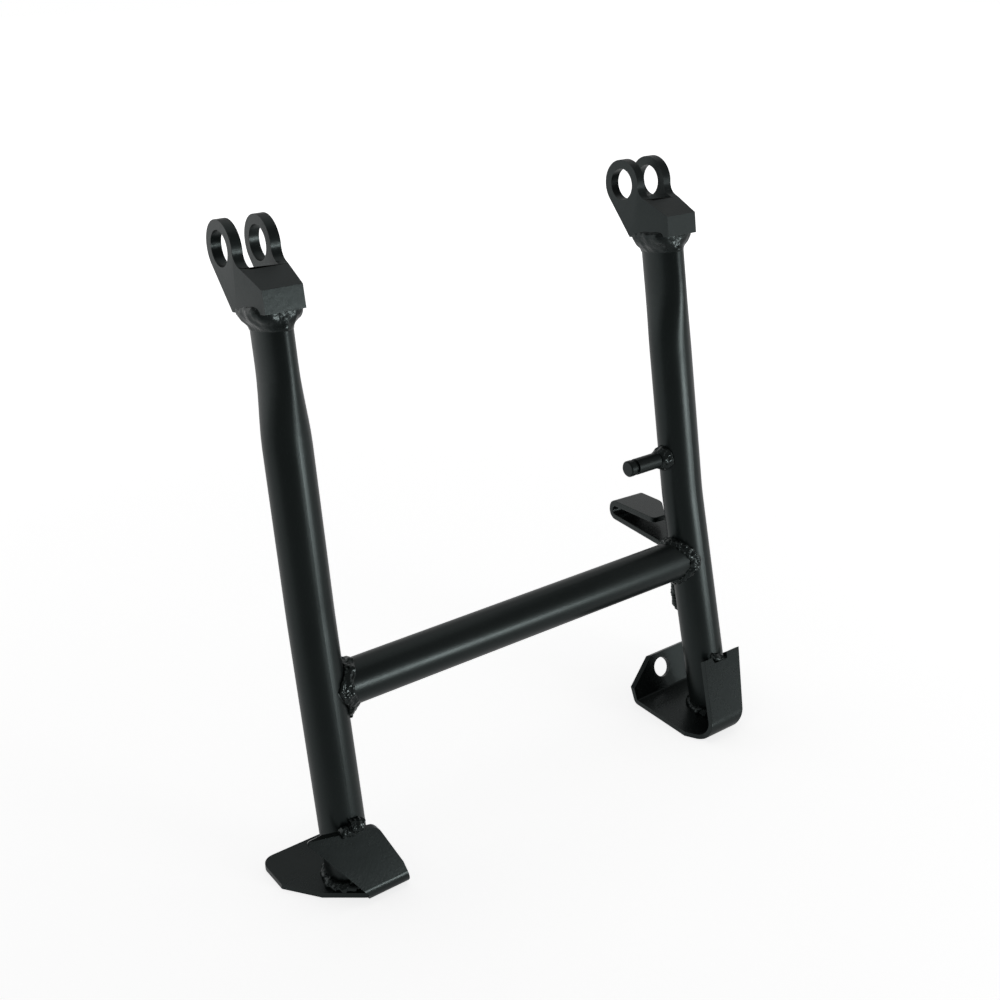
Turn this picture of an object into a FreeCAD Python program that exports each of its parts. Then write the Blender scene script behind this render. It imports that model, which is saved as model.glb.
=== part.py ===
"""Centre stand of a motorcycle: one welded frame of two bent legs, a cross tube and two folded shoes.

The frame hangs from two forked clevises at the top of its legs. A grooved peg on the right leg takes
the return spring, and a strip curled over at its end, behind the same leg, is where the rider's boot
presses. Lengths are millimetres and angles are degrees. The origin is the middle of the pivot axis:
+X runs along that axis to the side with the foot lever, +Y to the rear and +Z up, and the stand is
drawn as it stands on the ground, with its soles level.
"""
import FreeCAD, Part
import math
import os
import Sketcher

V = FreeCAD.Vector
os.makedirs("parts", exist_ok=True)
doc = FreeCAD.newDocument("centre_stand")

# Driving dimensions
SIZES = {
    "pivot_height": (365.0, "pivot axis above the ground"),
    "clevis_centre": (143.0, "middle of a clevis from the middle plane"),
    "slot_width": (16.5, "gap between a clevis's two ears"),
    "ear_thickness": (6.3, "one ear"),
    "ear_radius": (15.6, "round end of an ear"),
    "bore_diameter": (20.0, "pivot bore"),
    "slot_radius": (25.0, "round floor of the slot, about the pivot axis"),
    "ear_back_angle": (44.0, "where the back of the ear leaves its round end"),
    "shoulder_reach": (24.0, "front of the slot, ahead of the pivot axis"),
    "shoulder_drop": (7.2, "front of the slot, below the pivot axis"),
    "nose_reach": (42.0, "front of the clevis, ahead of the pivot axis"),
    "nose_drop": (14.0, "top edge of the nose, below the pivot axis"),
    "nose_width": (24.3, "clevis at its nose, where its sides have drawn in"),
    "ear_root_radius": (8.0, "hollow between ear and shoulder"),
    "leg_diameter": (28.0, "leg tube"),
    "leg_wall": (2.5, "wall of the leg tube"),
    "leg_bend_radius": (240.0, "bend of the leg, at its axis"),
    "leg_top_reach": (24.5, "top of the leg's axis, ahead of the pivot axis"),
    "leg_top_drop": (30.2, "top of the leg's axis, below the pivot axis"),
    "squeezed_width": (20.5, "squeezed top of the leg, side to side"),
    "squeezed_depth": (33.6, "squeezed top of the leg, front to back"),
    "squeezed_length": (30.0, "stretch of leg with the squeezed section"),
    "squeeze_run": (46.0, "stretch over which the leg becomes round"),
    "bend_reach": (54.8, "bend of the leg, ahead of the pivot axis"),
    "bend_drop": (204.5, "bend of the leg, below the pivot axis"),
    "bend_out": (3.4, "bend of the leg, outside its top"),
    "foot_reach": (91.4, "foot of the leg, ahead of the pivot axis"),
    "foot_out": (8.4, "foot of the leg, outside its top"),
    "cross_diameter": (27.5, "cross tube"),
    "cross_wall": (2.5, "wall of the cross tube"),
    "cross_drop": (249.6, "cross tube, below the pivot axis"),
    "sheet_thickness": (3.5, "sheet of the shoes"),
    "notch_width": (15.0, "notch for the leg in a front wall's top edge"),
    "notch_slant": (1.5, "how far each side of the notch draws in to its bottom"),
    "wall_foot_rise": (1.0, "start of a front wall's own outline, above the sole"),
    "wall_cut_clear": (12.0, "what trims a front wall ends this far ahead of the back plate's crease"),
    "waist_ahead": (8.0, "waist between sole and front wall, ahead of the leg's foot"),
    "waist_run": (4.0, "straight edge at the waist"),
    "left_wall_height": (43.0, "top of the left front wall, above the ground"),
    "left_notch_depth": (5.6, "notch in the left wall, below the wall's top"),
    "left_wall_lean": (33.0, "left front wall from upright"),
    "left_wall_ahead": (0.6, "left front wall's top, ahead of the front of the leg"),
    "left_wall_top_out": (182.0, "outer end of the left wall's top edge"),
    "left_wall_top_in": (136.0, "inner end of the left wall's top edge"),
    "left_wall_top_fall": (7.0, "fall of the left wall's top edge to its inner end"),
    "left_wall_knee": (127.5, "inner corner of the left wall, on its way down"),
    "left_wall_knee_fall": (28.0, "inner corner of the left wall, below the wall's top"),
    "left_wall_foot_out": (153.0, "outer edge of the left wall, at the fold"),
    "left_bend_radius": (6.5, "outside of the left fold"),
    "left_tread_in": (126.0, "inner edge of the left sole"),
    "right_wall_height": (48.0, "top of the right front wall, above the ground"),
    "right_notch_depth": (3.4, "notch in the right wall, below the wall's top"),
    "right_wall_lean": (36.0, "right front wall from upright"),
    "right_wall_ahead": (2.6, "right front wall's top, ahead of the front of the leg"),
    "right_wall_top_out": (169.8, "outer end of the right wall's top edge"),
    "right_wall_top_in": (135.6, "inner end of the right wall's top edge"),
    "right_wall_foot_in": (118.5, "inner edge of the right wall, at the fold"),
    "right_wall_foot_out": (147.0, "outer edge of the right wall, at the fold"),
    "right_bend_radius": (9.8, "outside of the right fold"),
    "right_tread_in": (111.8, "inner edge of the right sole"),
    "right_toe_run": (8.0, "cut toe corner of the right sole, behind the waist"),
    "tread_out": (189.5, "outer edge of both soles"),
    "tread_waist": (152.5, "outer edge of the soles at the fold"),
    "tread_middle": (174.0, "outer edge of the soles, at the corner halfway"),
    "tread_middle_reach": (98.5, "corner halfway, ahead of the pivot axis"),
    "tread_corner_reach": (77.5, "end of the slanting outer edge, ahead of the pivot axis"),
    "tread_back_reach": (50.5, "back edge of the left sole, ahead of the pivot axis"),
    "tread_corner_radius": (8.0, "round back corner of the left sole"),
    "back_plate_reach": (57.0, "crease of the right back plate, ahead of the pivot axis"),
    "back_plate_lean": (25.0, "right back plate from upright"),
    "back_plate_height": (27.7, "top of the right back plate, above the ground"),
    "back_plate_top_width": (32.5, "top edge of the back plate, between its cut corners"),
    "back_plate_chamfer_z": (16.5, "cut corner of the back plate, up"),
    "back_fold_radius": (1.5, "inside of the back plate's fold"),
    "shoe_hole_diameter": (14.4, "hole in the right back plate"),
    "shoe_hole_inset": (8.95, "hole, inside the middle of the back plate"),
    "shoe_hole_height": (17.6, "hole, above the ground"),
    "peg_diameter": (11.0, "spring peg"),
    "peg_length": (33.3, "peg, out of the leg"),
    "peg_drop": (177.4, "peg, below the pivot axis"),
    "peg_head": (4.0, "head outside the peg's groove"),
    "peg_groove_width": (3.0, "groove for the spring's hook"),
    "peg_groove_depth": (1.3, "groove for the spring's hook"),
    "peg_chamfer": (0.8, "rim of the peg's head"),
    "lever_width": (26.5, "strip of the foot lever"),
    "lever_thickness": (4.0, "strip of the foot lever"),
    "lever_offset": (1.6, "middle of the strip, outside the leg's axis"),
    "lever_turn": (3.5, "strip turned outwards"),
    "lever_gap": (0.15, "seat of the strip on the back of the leg"),
    "lever_run_drop": (248.4, "underside of the level run, below the pivot axis"),
    "lever_tail_drop": (296.0, "lower end of the strip, below the pivot axis"),
    "lever_tail_trim": (7.2, "what the strip is narrower by below the cross tube, on its inner side"),
    "lever_tail_shoulder": (8.0, "slanting edge that leads to the narrow tail"),
    "lever_tip": (13.0, "tip of the lever, behind the pivot axis"),
    "lever_curl_height": (14.4, "curled end, over its two plies"),
    "lever_curl_flat": (0.8, "flat between the two bends of the curl"),
    "lever_flap_end": (37.5, "free end of the flap, ahead of the pivot axis"),
    "lever_flap_rise": (4.0, "free end of the flap, above the curl"),
    "lever_flap_cut_x": (15.4, "cut outer corner of the flap, along the free end"),
    "lever_flap_cut_y": (22.5, "cut outer corner of the flap, along the edge"),
    "lever_bend_radius": (9.0, "outside of the bend at the leg"),
    "lever_corner_in": (4.0, "inner corner of the flap"),
    "lever_corner_out": (14.0, "blunt outer corner of the flap"),
    "bead_size": (3.4, "leg of the weld beads round the tubes"),
    "weld_reach": (3.0, "cross tube welds end this far inside the leg's axis"),
    "skirt_width": (26.6, "clevis weld at its seat, side to side"),
    "skirt_depth": (36.6, "clevis weld at its seat, front to back"),
    "skirt_corner": (11.0, "round corners of the clevis weld"),
    "skirt_taper": (2.6, "chamfer that brings the clevis weld in to the leg"),
    "skirt_drop": (9.5, "clevis weld, down the leg"),
    "bead_feather": (0.4, "thin edge where a bead fades out"),
    "sole_bead": (5.0, "sole weld, proud of the leg"),
    "sole_bead_rise": (6.0, "sole weld, up the leg"),
    "peg_bead": (4.2, "peg weld, proud of the peg"),
    "wall_bead": (3.6, "radius of the bead in the front wall's notch"),
    "wall_bead_length": (11.0, "bead in the front wall's notch"),
    "lever_bead_start": (3.0, "beads beside the strip, above its lower end"),
    "lever_bead_length": (21.0, "beads beside the strip"),
    "lever_bead_inset": (1.2, "beads beside the strip, in from its edges"),
    "lever_top_bead_width": (17.0, "bead over the strip's level run"),
    "lever_top_bead_inset": (5.0, "bead over the strip's level run, inside the leg's axis"),
    "clevis_seat": (0.3, "between a clevis's seat and its leg, which leans a little outwards"),
    "seat_gap": (0.15, "between the leg and the pieces fitted round it"),
}

sheet = doc.addObject("Spreadsheet::Sheet", "Sizes")
for row, (alias, (value, words)) in enumerate(SIZES.items(), start=1):
    sheet.set(f"A{row}", words)
    sheet.set(f"B{row}", str(value))
    sheet.setAlias(f"B{row}", alias)
doc.recompute()

LEFT, RIGHT = -1, 1
PLANES = {"front": "XZ_Plane", "side": "YZ_Plane", "plan": "XY_Plane"}
MARGIN = 5.0    # how far cutting shapes run past the piece that they cut
NOT_QUITE_ROUND = 1e-7    # an ellipse needs one axis longer than the other
SQUEEZE_STEPS = 6    # straight-sided steps from the leg's squeezed section to its round one


def size(alias):
    """A driving dimension's value."""
    return float(sheet.get(alias))


def value_of(formula):
    """The number that a formula over the sheet gives."""
    result = sheet.evalExpression(formula)
    return float(getattr(result, "Value", result))


def cell(formula):
    """The same formula for an object outside the sheet: each alias names its sheet."""
    for alias in sorted(SIZES, key=len, reverse=True):
        formula = formula.replace("{" + alias + "}", "Sizes." + alias)
    return formula


def number(formula):
    return value_of(cell(formula))


# Lines that the pieces share

def leg_points(side):
    """The three corners of a leg's axis: under the clevis, at the bend and on the sole."""
    top = V(side * size("clevis_centre"), -size("leg_top_reach"), -size("leg_top_drop"))
    bend = V(side * (size("clevis_centre") + size("bend_out")), -size("bend_reach"), -size("bend_drop"))
    sole_top = size("pivot_height") - size("sheet_thickness")
    foot = V(side * (size("clevis_centre") + size("foot_out")), -size("foot_reach"), -sole_top)
    return top, bend, foot


def wall_drop(side):
    """Top of a shoe's front wall, below the pivot axis."""
    return size("pivot_height") - size(name_of(side, "wall_height"))


def far():
    """Longer than any joint on the stand: how far construction solids run."""
    return 3 * size("leg_diameter")


def leg_axis_at(side, drop):
    """The point of a leg's axis that lies this far below the pivot axis."""
    top, bend, foot = leg_points(side)
    low, high = (foot, bend) if drop > size("bend_drop") else (bend, top)
    share = (-drop - low.z) / (high.z - low.z)
    return low + (high - low) * share


def leg_slope(side, drop):
    """Unit vector down a leg at this drop."""
    top, bend, foot = leg_points(side)
    start, end = (bend, foot) if drop > size("bend_drop") else (top, bend)
    return (end - start).normalize()


def leg_front(side, drop):
    """How far ahead of the pivot axis the front of a leg is, at this drop."""
    down = leg_slope(side, drop)
    half = size("leg_diameter") / 2 / math.cos(math.atan2(-down.y, -down.z))
    return -leg_axis_at(side, drop).y + half


# Bodies, sketches and features

def origin_plane(body, role):
    return next(plane for plane in body.Origin.OriginFeatures if plane.Role == role)


def new_sketch(body, name, view, offset="0", tilt=None, shift=None):
    """A sketch on one of the body's own planes, moved along that plane's normal by a formula."""
    sketch = body.newObject("Sketcher::SketchObject", name)
    sketch.AttachmentSupport = (origin_plane(body, PLANES[view]), "")
    sketch.MapMode = "FlatFace"
    if tilt is not None:
        sketch.AttachmentOffset = FreeCAD.Placement(V(0, 0, 0), FreeCAD.Rotation(V(1, 0, 0), number(tilt)))
    sketch.setExpression("AttachmentOffset.Base.z", cell(offset))
    if shift is not None:
        sketch.setExpression("AttachmentOffset.Base.x", cell(shift[0]))
        sketch.setExpression("AttachmentOffset.Base.y", cell(shift[1]))
    return sketch


def pin_point(sketch, geometry, place, formulas):
    """Bind a point's two coordinates to formulas over the sheet."""
    for kind, formula in zip(("DistanceX", "DistanceY"), formulas):
        if formula == "0":
            axis = -2 if kind == "DistanceX" else -1
            sketch.addConstraint(Sketcher.Constraint("PointOnObject", geometry, place, axis))
            continue
        index = sketch.addConstraint(
            Sketcher.Constraint(kind, -1, 1, geometry, place, number(formula)))
        sketch.setExpression(f"Constraints[{index}]", cell(formula))


def draw_outline(sketch, corners):
    """A closed outline of straight sides whose corners are pairs of formulas."""
    points = [V(number(x), number(y), 0) for x, y in corners]
    start = sketch.GeometryCount
    for here, there in zip(points, points[1:] + points[:1]):
        sketch.addGeometry(Part.LineSegment(here, there), False)
    for side in range(len(points)):
        follows = start + (side + 1) % len(points)
        sketch.addConstraint(Sketcher.Constraint("Coincident", start + side, 2, follows, 1))
    for side, corner in enumerate(corners):
        pin_point(sketch, start + side, 1, corner)


def draw_circle(sketch, centre, diameter):
    """A circle whose centre and diameter are formulas."""
    middle = V(number(centre[0]), number(centre[1]), 0)
    index = sketch.addGeometry(Part.Circle(middle, V(0, 0, 1), number(diameter) / 2), False)
    pin_point(sketch, index, 3, centre)
    bound = sketch.addConstraint(Sketcher.Constraint("Diameter", index, number(diameter)))
    sketch.setExpression(f"Constraints[{bound}]", cell(diameter))


def pad(body, name, sketch, length):
    feature = body.newObject("PartDesign::Pad", name)
    feature.Profile = sketch
    feature.setExpression("Length", cell(length))
    doc.recompute()
    return feature


def pocket(body, name, sketch, length, reverse=False, midplane=False):
    """A pocket that has to take material away."""
    before = body.Shape.Volume
    feature = body.newObject("PartDesign::Pocket", name)
    feature.Profile = sketch
    feature.Reversed = reverse
    if midplane:
        feature.SideType = "Symmetric"
    feature.setExpression("Length", cell(length))
    doc.recompute()
    if body.Shape.Volume > before - 0.5:
        raise RuntimeError(f"{name} cuts nothing")
    return feature


def edges_through(shape, points, reach=0.05):
    """Names of the edges that pass within reach of these points."""
    names = []
    for index, edge in enumerate(shape.Edges, start=1):
        if any(edge.distToShape(Part.Vertex(point))[0] < reach for point in points):
            names.append(f"Edge{index}")
    return names


def fillet(body, name, points, radius):
    """Round the edges that pass through these points."""
    base = body.Tip
    names = edges_through(base.Shape, points)
    if not names:
        raise RuntimeError(f"{name} finds no edge")
    feature = body.newObject("PartDesign::Fillet", name)
    feature.Base = (base, names)
    feature.setExpression("Radius", cell(radius))
    doc.recompute()
    return feature


def name_of(side, words):
    return ("left_" if side == LEFT else "right_") + words


def keep_as_cut(label, base, tools):
    """The piece that is left of a base when what it is fitted round has been taken away."""
    piece = doc.addObject("Part::Cut", label)
    piece.Base = base
    piece.Tool = tools
    piece.Label = label
    doc.recompute()
    return piece


def keep_shape(label, shape):
    """A piece whose form is worked out here from the sheet's values."""
    piece = doc.addObject("Part::Feature", label)
    piece.Shape = shape.removeSplitter() if shape.ShapeType != "Solid" else shape
    piece.Label = label
    return piece


# Clevis: a forged fork that a round lug of the motorcycle's frame turns in

def make_clevis(side):
    label = name_of(side, "clevis")
    body = doc.addObject("PartDesign::Body", label + "_body")
    width = "({slot_width} + 2 * {ear_thickness})"
    low_face = f"{side} * {{clevis_centre}} - {width} / 2"
    top, bend, _ = leg_points(side)
    lean = (top.y - bend.y) / (top.z - bend.z)
    ear = new_sketch(body, label + "_ear", "side", low_face)
    draw_circle(ear, ("0", "0"), "2 * {ear_radius}")
    pad(body, label + "_ear_pad", ear, width)

    # The underside is square to the leg, and the back runs off the round end at a tangent.
    back_y = "{ear_radius} * cos({ear_back_angle} * 1deg)"
    back_z = "-{ear_radius} * sin({ear_back_angle} * 1deg)"
    fall = math.tan(math.radians(90 - size("ear_back_angle")))
    seat = -size("leg_top_drop") - lean * (number(back_y) + size("leg_top_reach"))
    back_run = (number(back_z) - seat) / (fall + lean)
    foot_y = f"{back_y} - {back_run:.6f}"
    foot_z = f"{back_z} - {fall:.6f} * {back_run:.6f}"
    nose_fall = (size("leg_top_drop") - size("nose_drop")
                 - lean * (size("nose_reach") - size("leg_top_reach"))) / (1 + lean * lean)
    block = new_sketch(body, label + "_block", "side", low_face)
    draw_outline(block, [
        ("0", "0"), (back_y, back_z), (foot_y, foot_z),
        (f"-{{nose_reach}} - {nose_fall * lean:.6f}", f"-{{nose_drop}} - {nose_fall:.6f}"),
        ("-{nose_reach}", "-{nose_drop}"),
        ("-{shoulder_reach}", "-{shoulder_drop}")])
    pad(body, label + "_block_pad", block, width)

    # The hollow between the ear and the shoulder
    slope = math.atan2(size("shoulder_drop"), size("shoulder_reach"))
    root = V(0, -size("ear_radius") * math.cos(slope), -size("ear_radius") * math.sin(slope))
    middle = V(side * size("clevis_centre"), 0, 0)
    fillet(body, label + "_root", [middle + root], "{ear_root_radius}")

    slot = new_sketch(body, label + "_slot", "side", f"{side} * {{clevis_centre}}")
    draw_circle(slot, ("0", "0"), "2 * {slot_radius}")
    pocket(body, label + "_slot_cut", slot, "{slot_width}", midplane=True)

    bore = new_sketch(body, label + "_bore", "side", f"{side} * {{clevis_centre}}")
    draw_circle(bore, ("0", "0"), "{bore_diameter}")
    pocket(body, label + "_bore_cut", bore, f"{width} + {2 * MARGIN}", midplane=True)

    # Both sides draw in towards the nose.
    for edge in (-1, 1):
        half = f"{side} * {{clevis_centre}} + {edge} * {width} / 2"
        drawn = f"{side} * {{clevis_centre}} + {edge} * {{nose_width}} / 2"
        taper = new_sketch(body, f"{label}_draw_{edge + 1}", "plan", f"-{{leg_top_drop}} - {3 * MARGIN}")
        draw_outline(taper, [
            (half, "-{ear_radius}"), (drawn, "-{nose_reach}"),
            (drawn, f"-{{nose_reach}} - {2 * MARGIN}"),
            (f"{half} + {edge * MARGIN}", f"-{{nose_reach}} - {2 * MARGIN}"),
            (f"{half} + {edge * MARGIN}", "-{ear_radius}")])
        pocket(body, f"{label}_draw_cut_{edge + 1}", taper,
               f"{{leg_top_drop}} + {4 * MARGIN}", reverse=True)
    body.Label = label
    return body


# Leg: a tube squeezed narrow under the clevis and bent once

def oval(centre, down, half_x, half_y):
    """An elliptical section square to the leg. Its long way points front to back."""
    across = V(1, 0, 0) - down * down.x
    across.normalize()
    forward = down.cross(across)
    half_y = max(half_y, half_x + NOT_QUITE_ROUND)
    ellipse = Part.Ellipse(centre + forward * half_y, centre + across * half_x, centre)
    return Part.Wire(ellipse.toShape())


def leg_solid(side, inset):
    """The leg's form, in from its outside by an inset, down to the top of the sole."""
    top, bend, foot = leg_points(side)
    upper = (bend - top).normalize()
    lower = (foot - bend).normalize()
    round_half = size("leg_diameter") / 2 - inset
    narrow, deep = size("squeezed_width") / 2 - inset, size("squeezed_depth") / 2 - inset
    squeezed_end, run, seat = size("squeezed_length"), size("squeeze_run"), size("clevis_seat")
    flat = Part.Face(oval(top + upper * seat, upper, narrow, deep)).extrude(upper * (squeezed_end - seat))
    sections = []
    for step in range(SQUEEZE_STEPS + 1):
        share = step / SQUEEZE_STEPS
        ease = share * share * (3 - 2 * share)
        sections.append(oval(top + upper * (squeezed_end + run * share), upper,
                             narrow + (round_half - narrow) * ease,
                             deep + (round_half - deep) * ease))
    easing = Part.makeLoft(sections, True, True)

    # Two straight stretches with an arc between them
    joint = top + upper * (squeezed_end + run)
    turn = upper.getAngle(lower)
    tangent = size("leg_bend_radius") * math.tan(turn / 2)
    arc_start, arc_end = bend - upper * tangent, bend + lower * tangent
    inward = (lower - upper).normalize()
    sagitta = size("leg_bend_radius") * (1 / math.cos(turn / 2) - 1)
    end = foot + lower * far()
    path = Part.Wire([
        Part.makeLine(joint, arc_start),
        Part.Arc(arc_start, bend + inward * sagitta, arc_end).toShape(),
        Part.makeLine(arc_end, end)])
    ring = Part.Wire(Part.Circle(joint, upper, round_half).toShape())
    round_part = path.makePipeShell([ring], True, False)
    sole_top = -size("pivot_height") + size("sheet_thickness")
    reach = 2 * far()
    low = Part.makeBox(2 * reach, 2 * reach, reach, V(foot.x - reach, foot.y - reach, sole_top - reach))
    return flat.fuse([easing, round_part]).cut(low).Solids[0]


def make_leg(side, envelope):
    bore = doc.addObject("Part::Feature", name_of(side, "leg_inside"))
    bore.Shape = leg_solid(side, size("leg_wall"))
    return keep_as_cut(name_of(side, "leg"), envelope, bore)


# Cross tube, fitted at both ends round the legs

def make_cross_tube(envelopes):
    outside = doc.addObject("Part::Cylinder", "cross_outside")
    outside.setExpression("Radius", cell("{cross_diameter} / 2"))
    inside = doc.addObject("Part::Cylinder", "cross_inside")
    inside.setExpression("Radius", cell("{cross_diameter} / 2 - {cross_wall}"))
    axis = leg_axis_at(LEFT, size("cross_drop"))
    for piece in (outside, inside):
        piece.setExpression("Height", cell("2 * ({clevis_centre} + {foot_out} / 2)"))
        start = V(-number("{clevis_centre} + {foot_out} / 2"), axis.y, -size("cross_drop"))
        piece.Placement = FreeCAD.Placement(start, FreeCAD.Rotation(V(0, 1, 0), 90))
    pipe = doc.addObject("Part::Cut", "cross_pipe")
    pipe.Base, pipe.Tool = outside, inside
    legs = doc.addObject("Part::MultiFuse", "leg_pair")
    legs.Shapes = envelopes
    doc.recompute()
    return keep_as_cut("cross_tube", pipe, legs)


# Shoes: each one folded from sheet, its front wall leaning back to the leg

def wall_top_reach(side):
    """How far ahead of the pivot axis the outside of a front wall's top is."""
    return leg_front(side, wall_drop(side)) + size(name_of(side, "wall_ahead"))


def shoe_profile(side):
    """The shoe's side view: front wall, sole and, on the right, a back plate."""
    wall = "({pivot_height} - {" + name_of(side, "wall_height") + "})"
    lean = "{" + name_of(side, "wall_lean") + "}"
    top = f"{wall_top_reach(side):.6f}"
    fold = f"({top} + ({{pivot_height}} - {wall}) * tan({lean} * 1deg))"
    thick = "{sheet_thickness}"
    inner_fold = f"({fold} - {thick} * (1 / cos({lean} * 1deg) + tan({lean} * 1deg)))"
    corners = [
        (f"-{top}", f"-{wall}"), (f"-{fold}", "-{pivot_height}")]
    if side == LEFT:
        corners += [
            ("-{tread_back_reach}", "-{pivot_height}"),
            ("-{tread_back_reach}", f"-{{pivot_height}} + {thick}")]
    else:
        tilt = "{back_plate_lean} * 1deg"
        crease = "-{back_plate_reach}"
        rise = f"({{back_plate_height}} - {thick})"
        edge = "({pivot_height} - {back_plate_height})"
        outside = f"{crease} + {thick} * (1 / cos({tilt}) - tan({tilt}))"
        corners += [
            (outside, "-{pivot_height}"),
            (f"{crease} + {rise} * tan({tilt}) + {thick} * cos({tilt})",
             f"-{edge} - {thick} * sin({tilt})"),
            (f"{crease} + {rise} * tan({tilt})", f"-{edge}"),
            (crease, f"-{{pivot_height}} + {thick}")]
    corners += [
        (f"-{inner_fold}", f"-{{pivot_height}} + {thick}"),
        (f"-{top} + {thick} * cos({lean} * 1deg)", f"-{wall} - {thick} * sin({lean} * 1deg)")]
    return corners


def make_shoe(side, envelope):
    label = name_of(side, "shoe")
    body = doc.addObject("PartDesign::Body", label + "_body")
    tread_in = "{" + name_of(side, "tread_in") + "}"
    start = "-{tread_out}" if side == LEFT else tread_in
    section = new_sketch(body, label + "_section", "side", start)
    corners = shoe_profile(side)
    draw_outline(section, corners)
    pad(body, label + "_pad", section, f"{{tread_out}} - {tread_in}")

    # Folds: the outside radius, and the inside one that the sheet leaves
    along = side * (number(tread_in) + size("tread_out")) / 2
    spot = [V(along, number(y), number(z)) for y, z in corners]
    radius = "{" + name_of(side, "bend_radius") + "}"
    fillet(body, label + "_fold", [spot[1]], radius)
    fillet(body, label + "_fold_inside", [spot[-2]], f"{radius} - {{sheet_thickness}}")
    if side == RIGHT:
        fillet(body, label + "_back_fold", [spot[2]], "{sheet_thickness} + {back_fold_radius}")
        fillet(body, label + "_back_fold_inside", [spot[5]], "{back_fold_radius}")

    # The blank's outline: front wall, then sole. The fold is the waist between them.
    def named(words):
        return "{" + name_of(side, words) + "}"

    def x(formula):
        return f"{side} * ({formula})"

    front = max(-number(y) for y, _ in corners) + MARGIN
    through = f"{front:.6f} - {{back_plate_reach}} - {{wall_cut_clear}}"
    foot = "-{pivot_height} + {sheet_thickness} + {wall_foot_rise}"
    top = f"-{{pivot_height}} + {named('wall_height')}"
    above = f"{top} + {MARGIN}"
    beyond, within = f"{{tread_out}} + {MARGIN}", f"{tread_in} - {MARGIN}"
    foot_in = tread_in if side == LEFT else named("wall_foot_in")
    outer = new_sketch(body, label + "_wall_outer", "front", f"{front:.6f}")
    draw_outline(outer, [
        (x(named("wall_foot_out")), foot), (x(named("wall_top_out")), top),
        (x(named("wall_top_out")), above), (x(beyond), above), (x(beyond), foot)])
    pocket(body, label + "_wall_outer_cut", outer, through)
    inner = new_sketch(body, label + "_wall_inner", "front", f"{front:.6f}")
    slant = [(x(named("wall_top_in")), top)]
    if side == LEFT:
        slant = [(x(named("wall_top_in")), f"{top} - {{left_wall_top_fall}}"),
                 (x("{left_wall_knee}"), f"{top} - {{left_wall_knee_fall}}")]
    draw_outline(inner, [(x(within), foot), (x(within), above), (x(named("wall_top_in")), above)]
                 + slant + [(x(foot_in), foot)])
    pocket(body, label + "_wall_inner_cut", inner, through)
    if side == LEFT:
        crown = new_sketch(body, label + "_crown", "front", f"{front:.6f}")
        draw_outline(crown, [
            (x("{left_wall_top_out}"), top), (x("{left_wall_top_out}"), above),
            (x("{left_wall_top_in}"), above),
            (x("{left_wall_top_in}"), f"{top} - {{left_wall_top_fall}}")])
        pocket(body, label + "_crown_cut", crown, through)

    # The notch in the wall's top edge, ahead of the leg
    middle = f"{abs(leg_axis_at(side, wall_drop(side)).x):.6f}"
    bottom = f"{top} - {named('notch_depth')}"
    notch = new_sketch(body, label + "_notch", "front", f"{front:.6f}")
    left, right = f"{middle} - {{notch_width}} / 2", f"{middle} + {{notch_width}} / 2"
    draw_outline(notch, [
        (x(left), above), (x(left), top), (x(f"{left} + {{notch_slant}}"), bottom),
        (x(f"{right} - {{notch_slant}}"), bottom), (x(right), top), (x(right), above)])
    pocket(body, label + "_notch_cut", notch, through)

    waist = f"-{leg_front(side, size('pivot_height')):.6f} - {{waist_ahead}}"
    sole = new_sketch(body, label + "_tread", "plan", f"-{{pivot_height}} - {MARGIN}")
    draw_outline(sole, [
        (x(named("wall_foot_out")), f"-{front:.6f}"), (x(named("wall_foot_out")), f"{waist} - {{waist_run}}"),
        (x("{tread_waist}"), waist), (x("{tread_middle}"), "-{tread_middle_reach}"),
        (x("{tread_out}"), "-{tread_corner_reach}"), (x(beyond), "-{tread_corner_reach}"),
        (x(beyond), f"-{front:.6f}")])
    deep = f"{{sheet_thickness}} + {{wall_foot_rise}} + {MARGIN}"
    pocket(body, label + "_tread_cut", sole, deep, reverse=True)
    if side == RIGHT:
        toe = new_sketch(body, label + "_toe", "plan", f"-{{pivot_height}} - {MARGIN}")
        draw_outline(toe, [
            (x(within), f"-{front:.6f}"), (x(within), f"{waist} + {{right_toe_run}}"),
            (x(tread_in), f"{waist} + {{right_toe_run}}"), (x(foot_in), f"{waist} - {{waist_run}}"),
            (x(foot_in), f"-{front:.6f}")])
        pocket(body, label + "_toe_cut", toe, deep, reverse=True)
        add_back_plate_cuts(body, label)
    else:
        back = V(-size("tread_out"), -size("tread_back_reach"),
                 -size("pivot_height") + size("sheet_thickness") / 2)
        fillet(body, label + "_back_corner", [back], "{tread_corner_radius}")
    return keep_as_cut(label, body, envelope)


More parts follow.
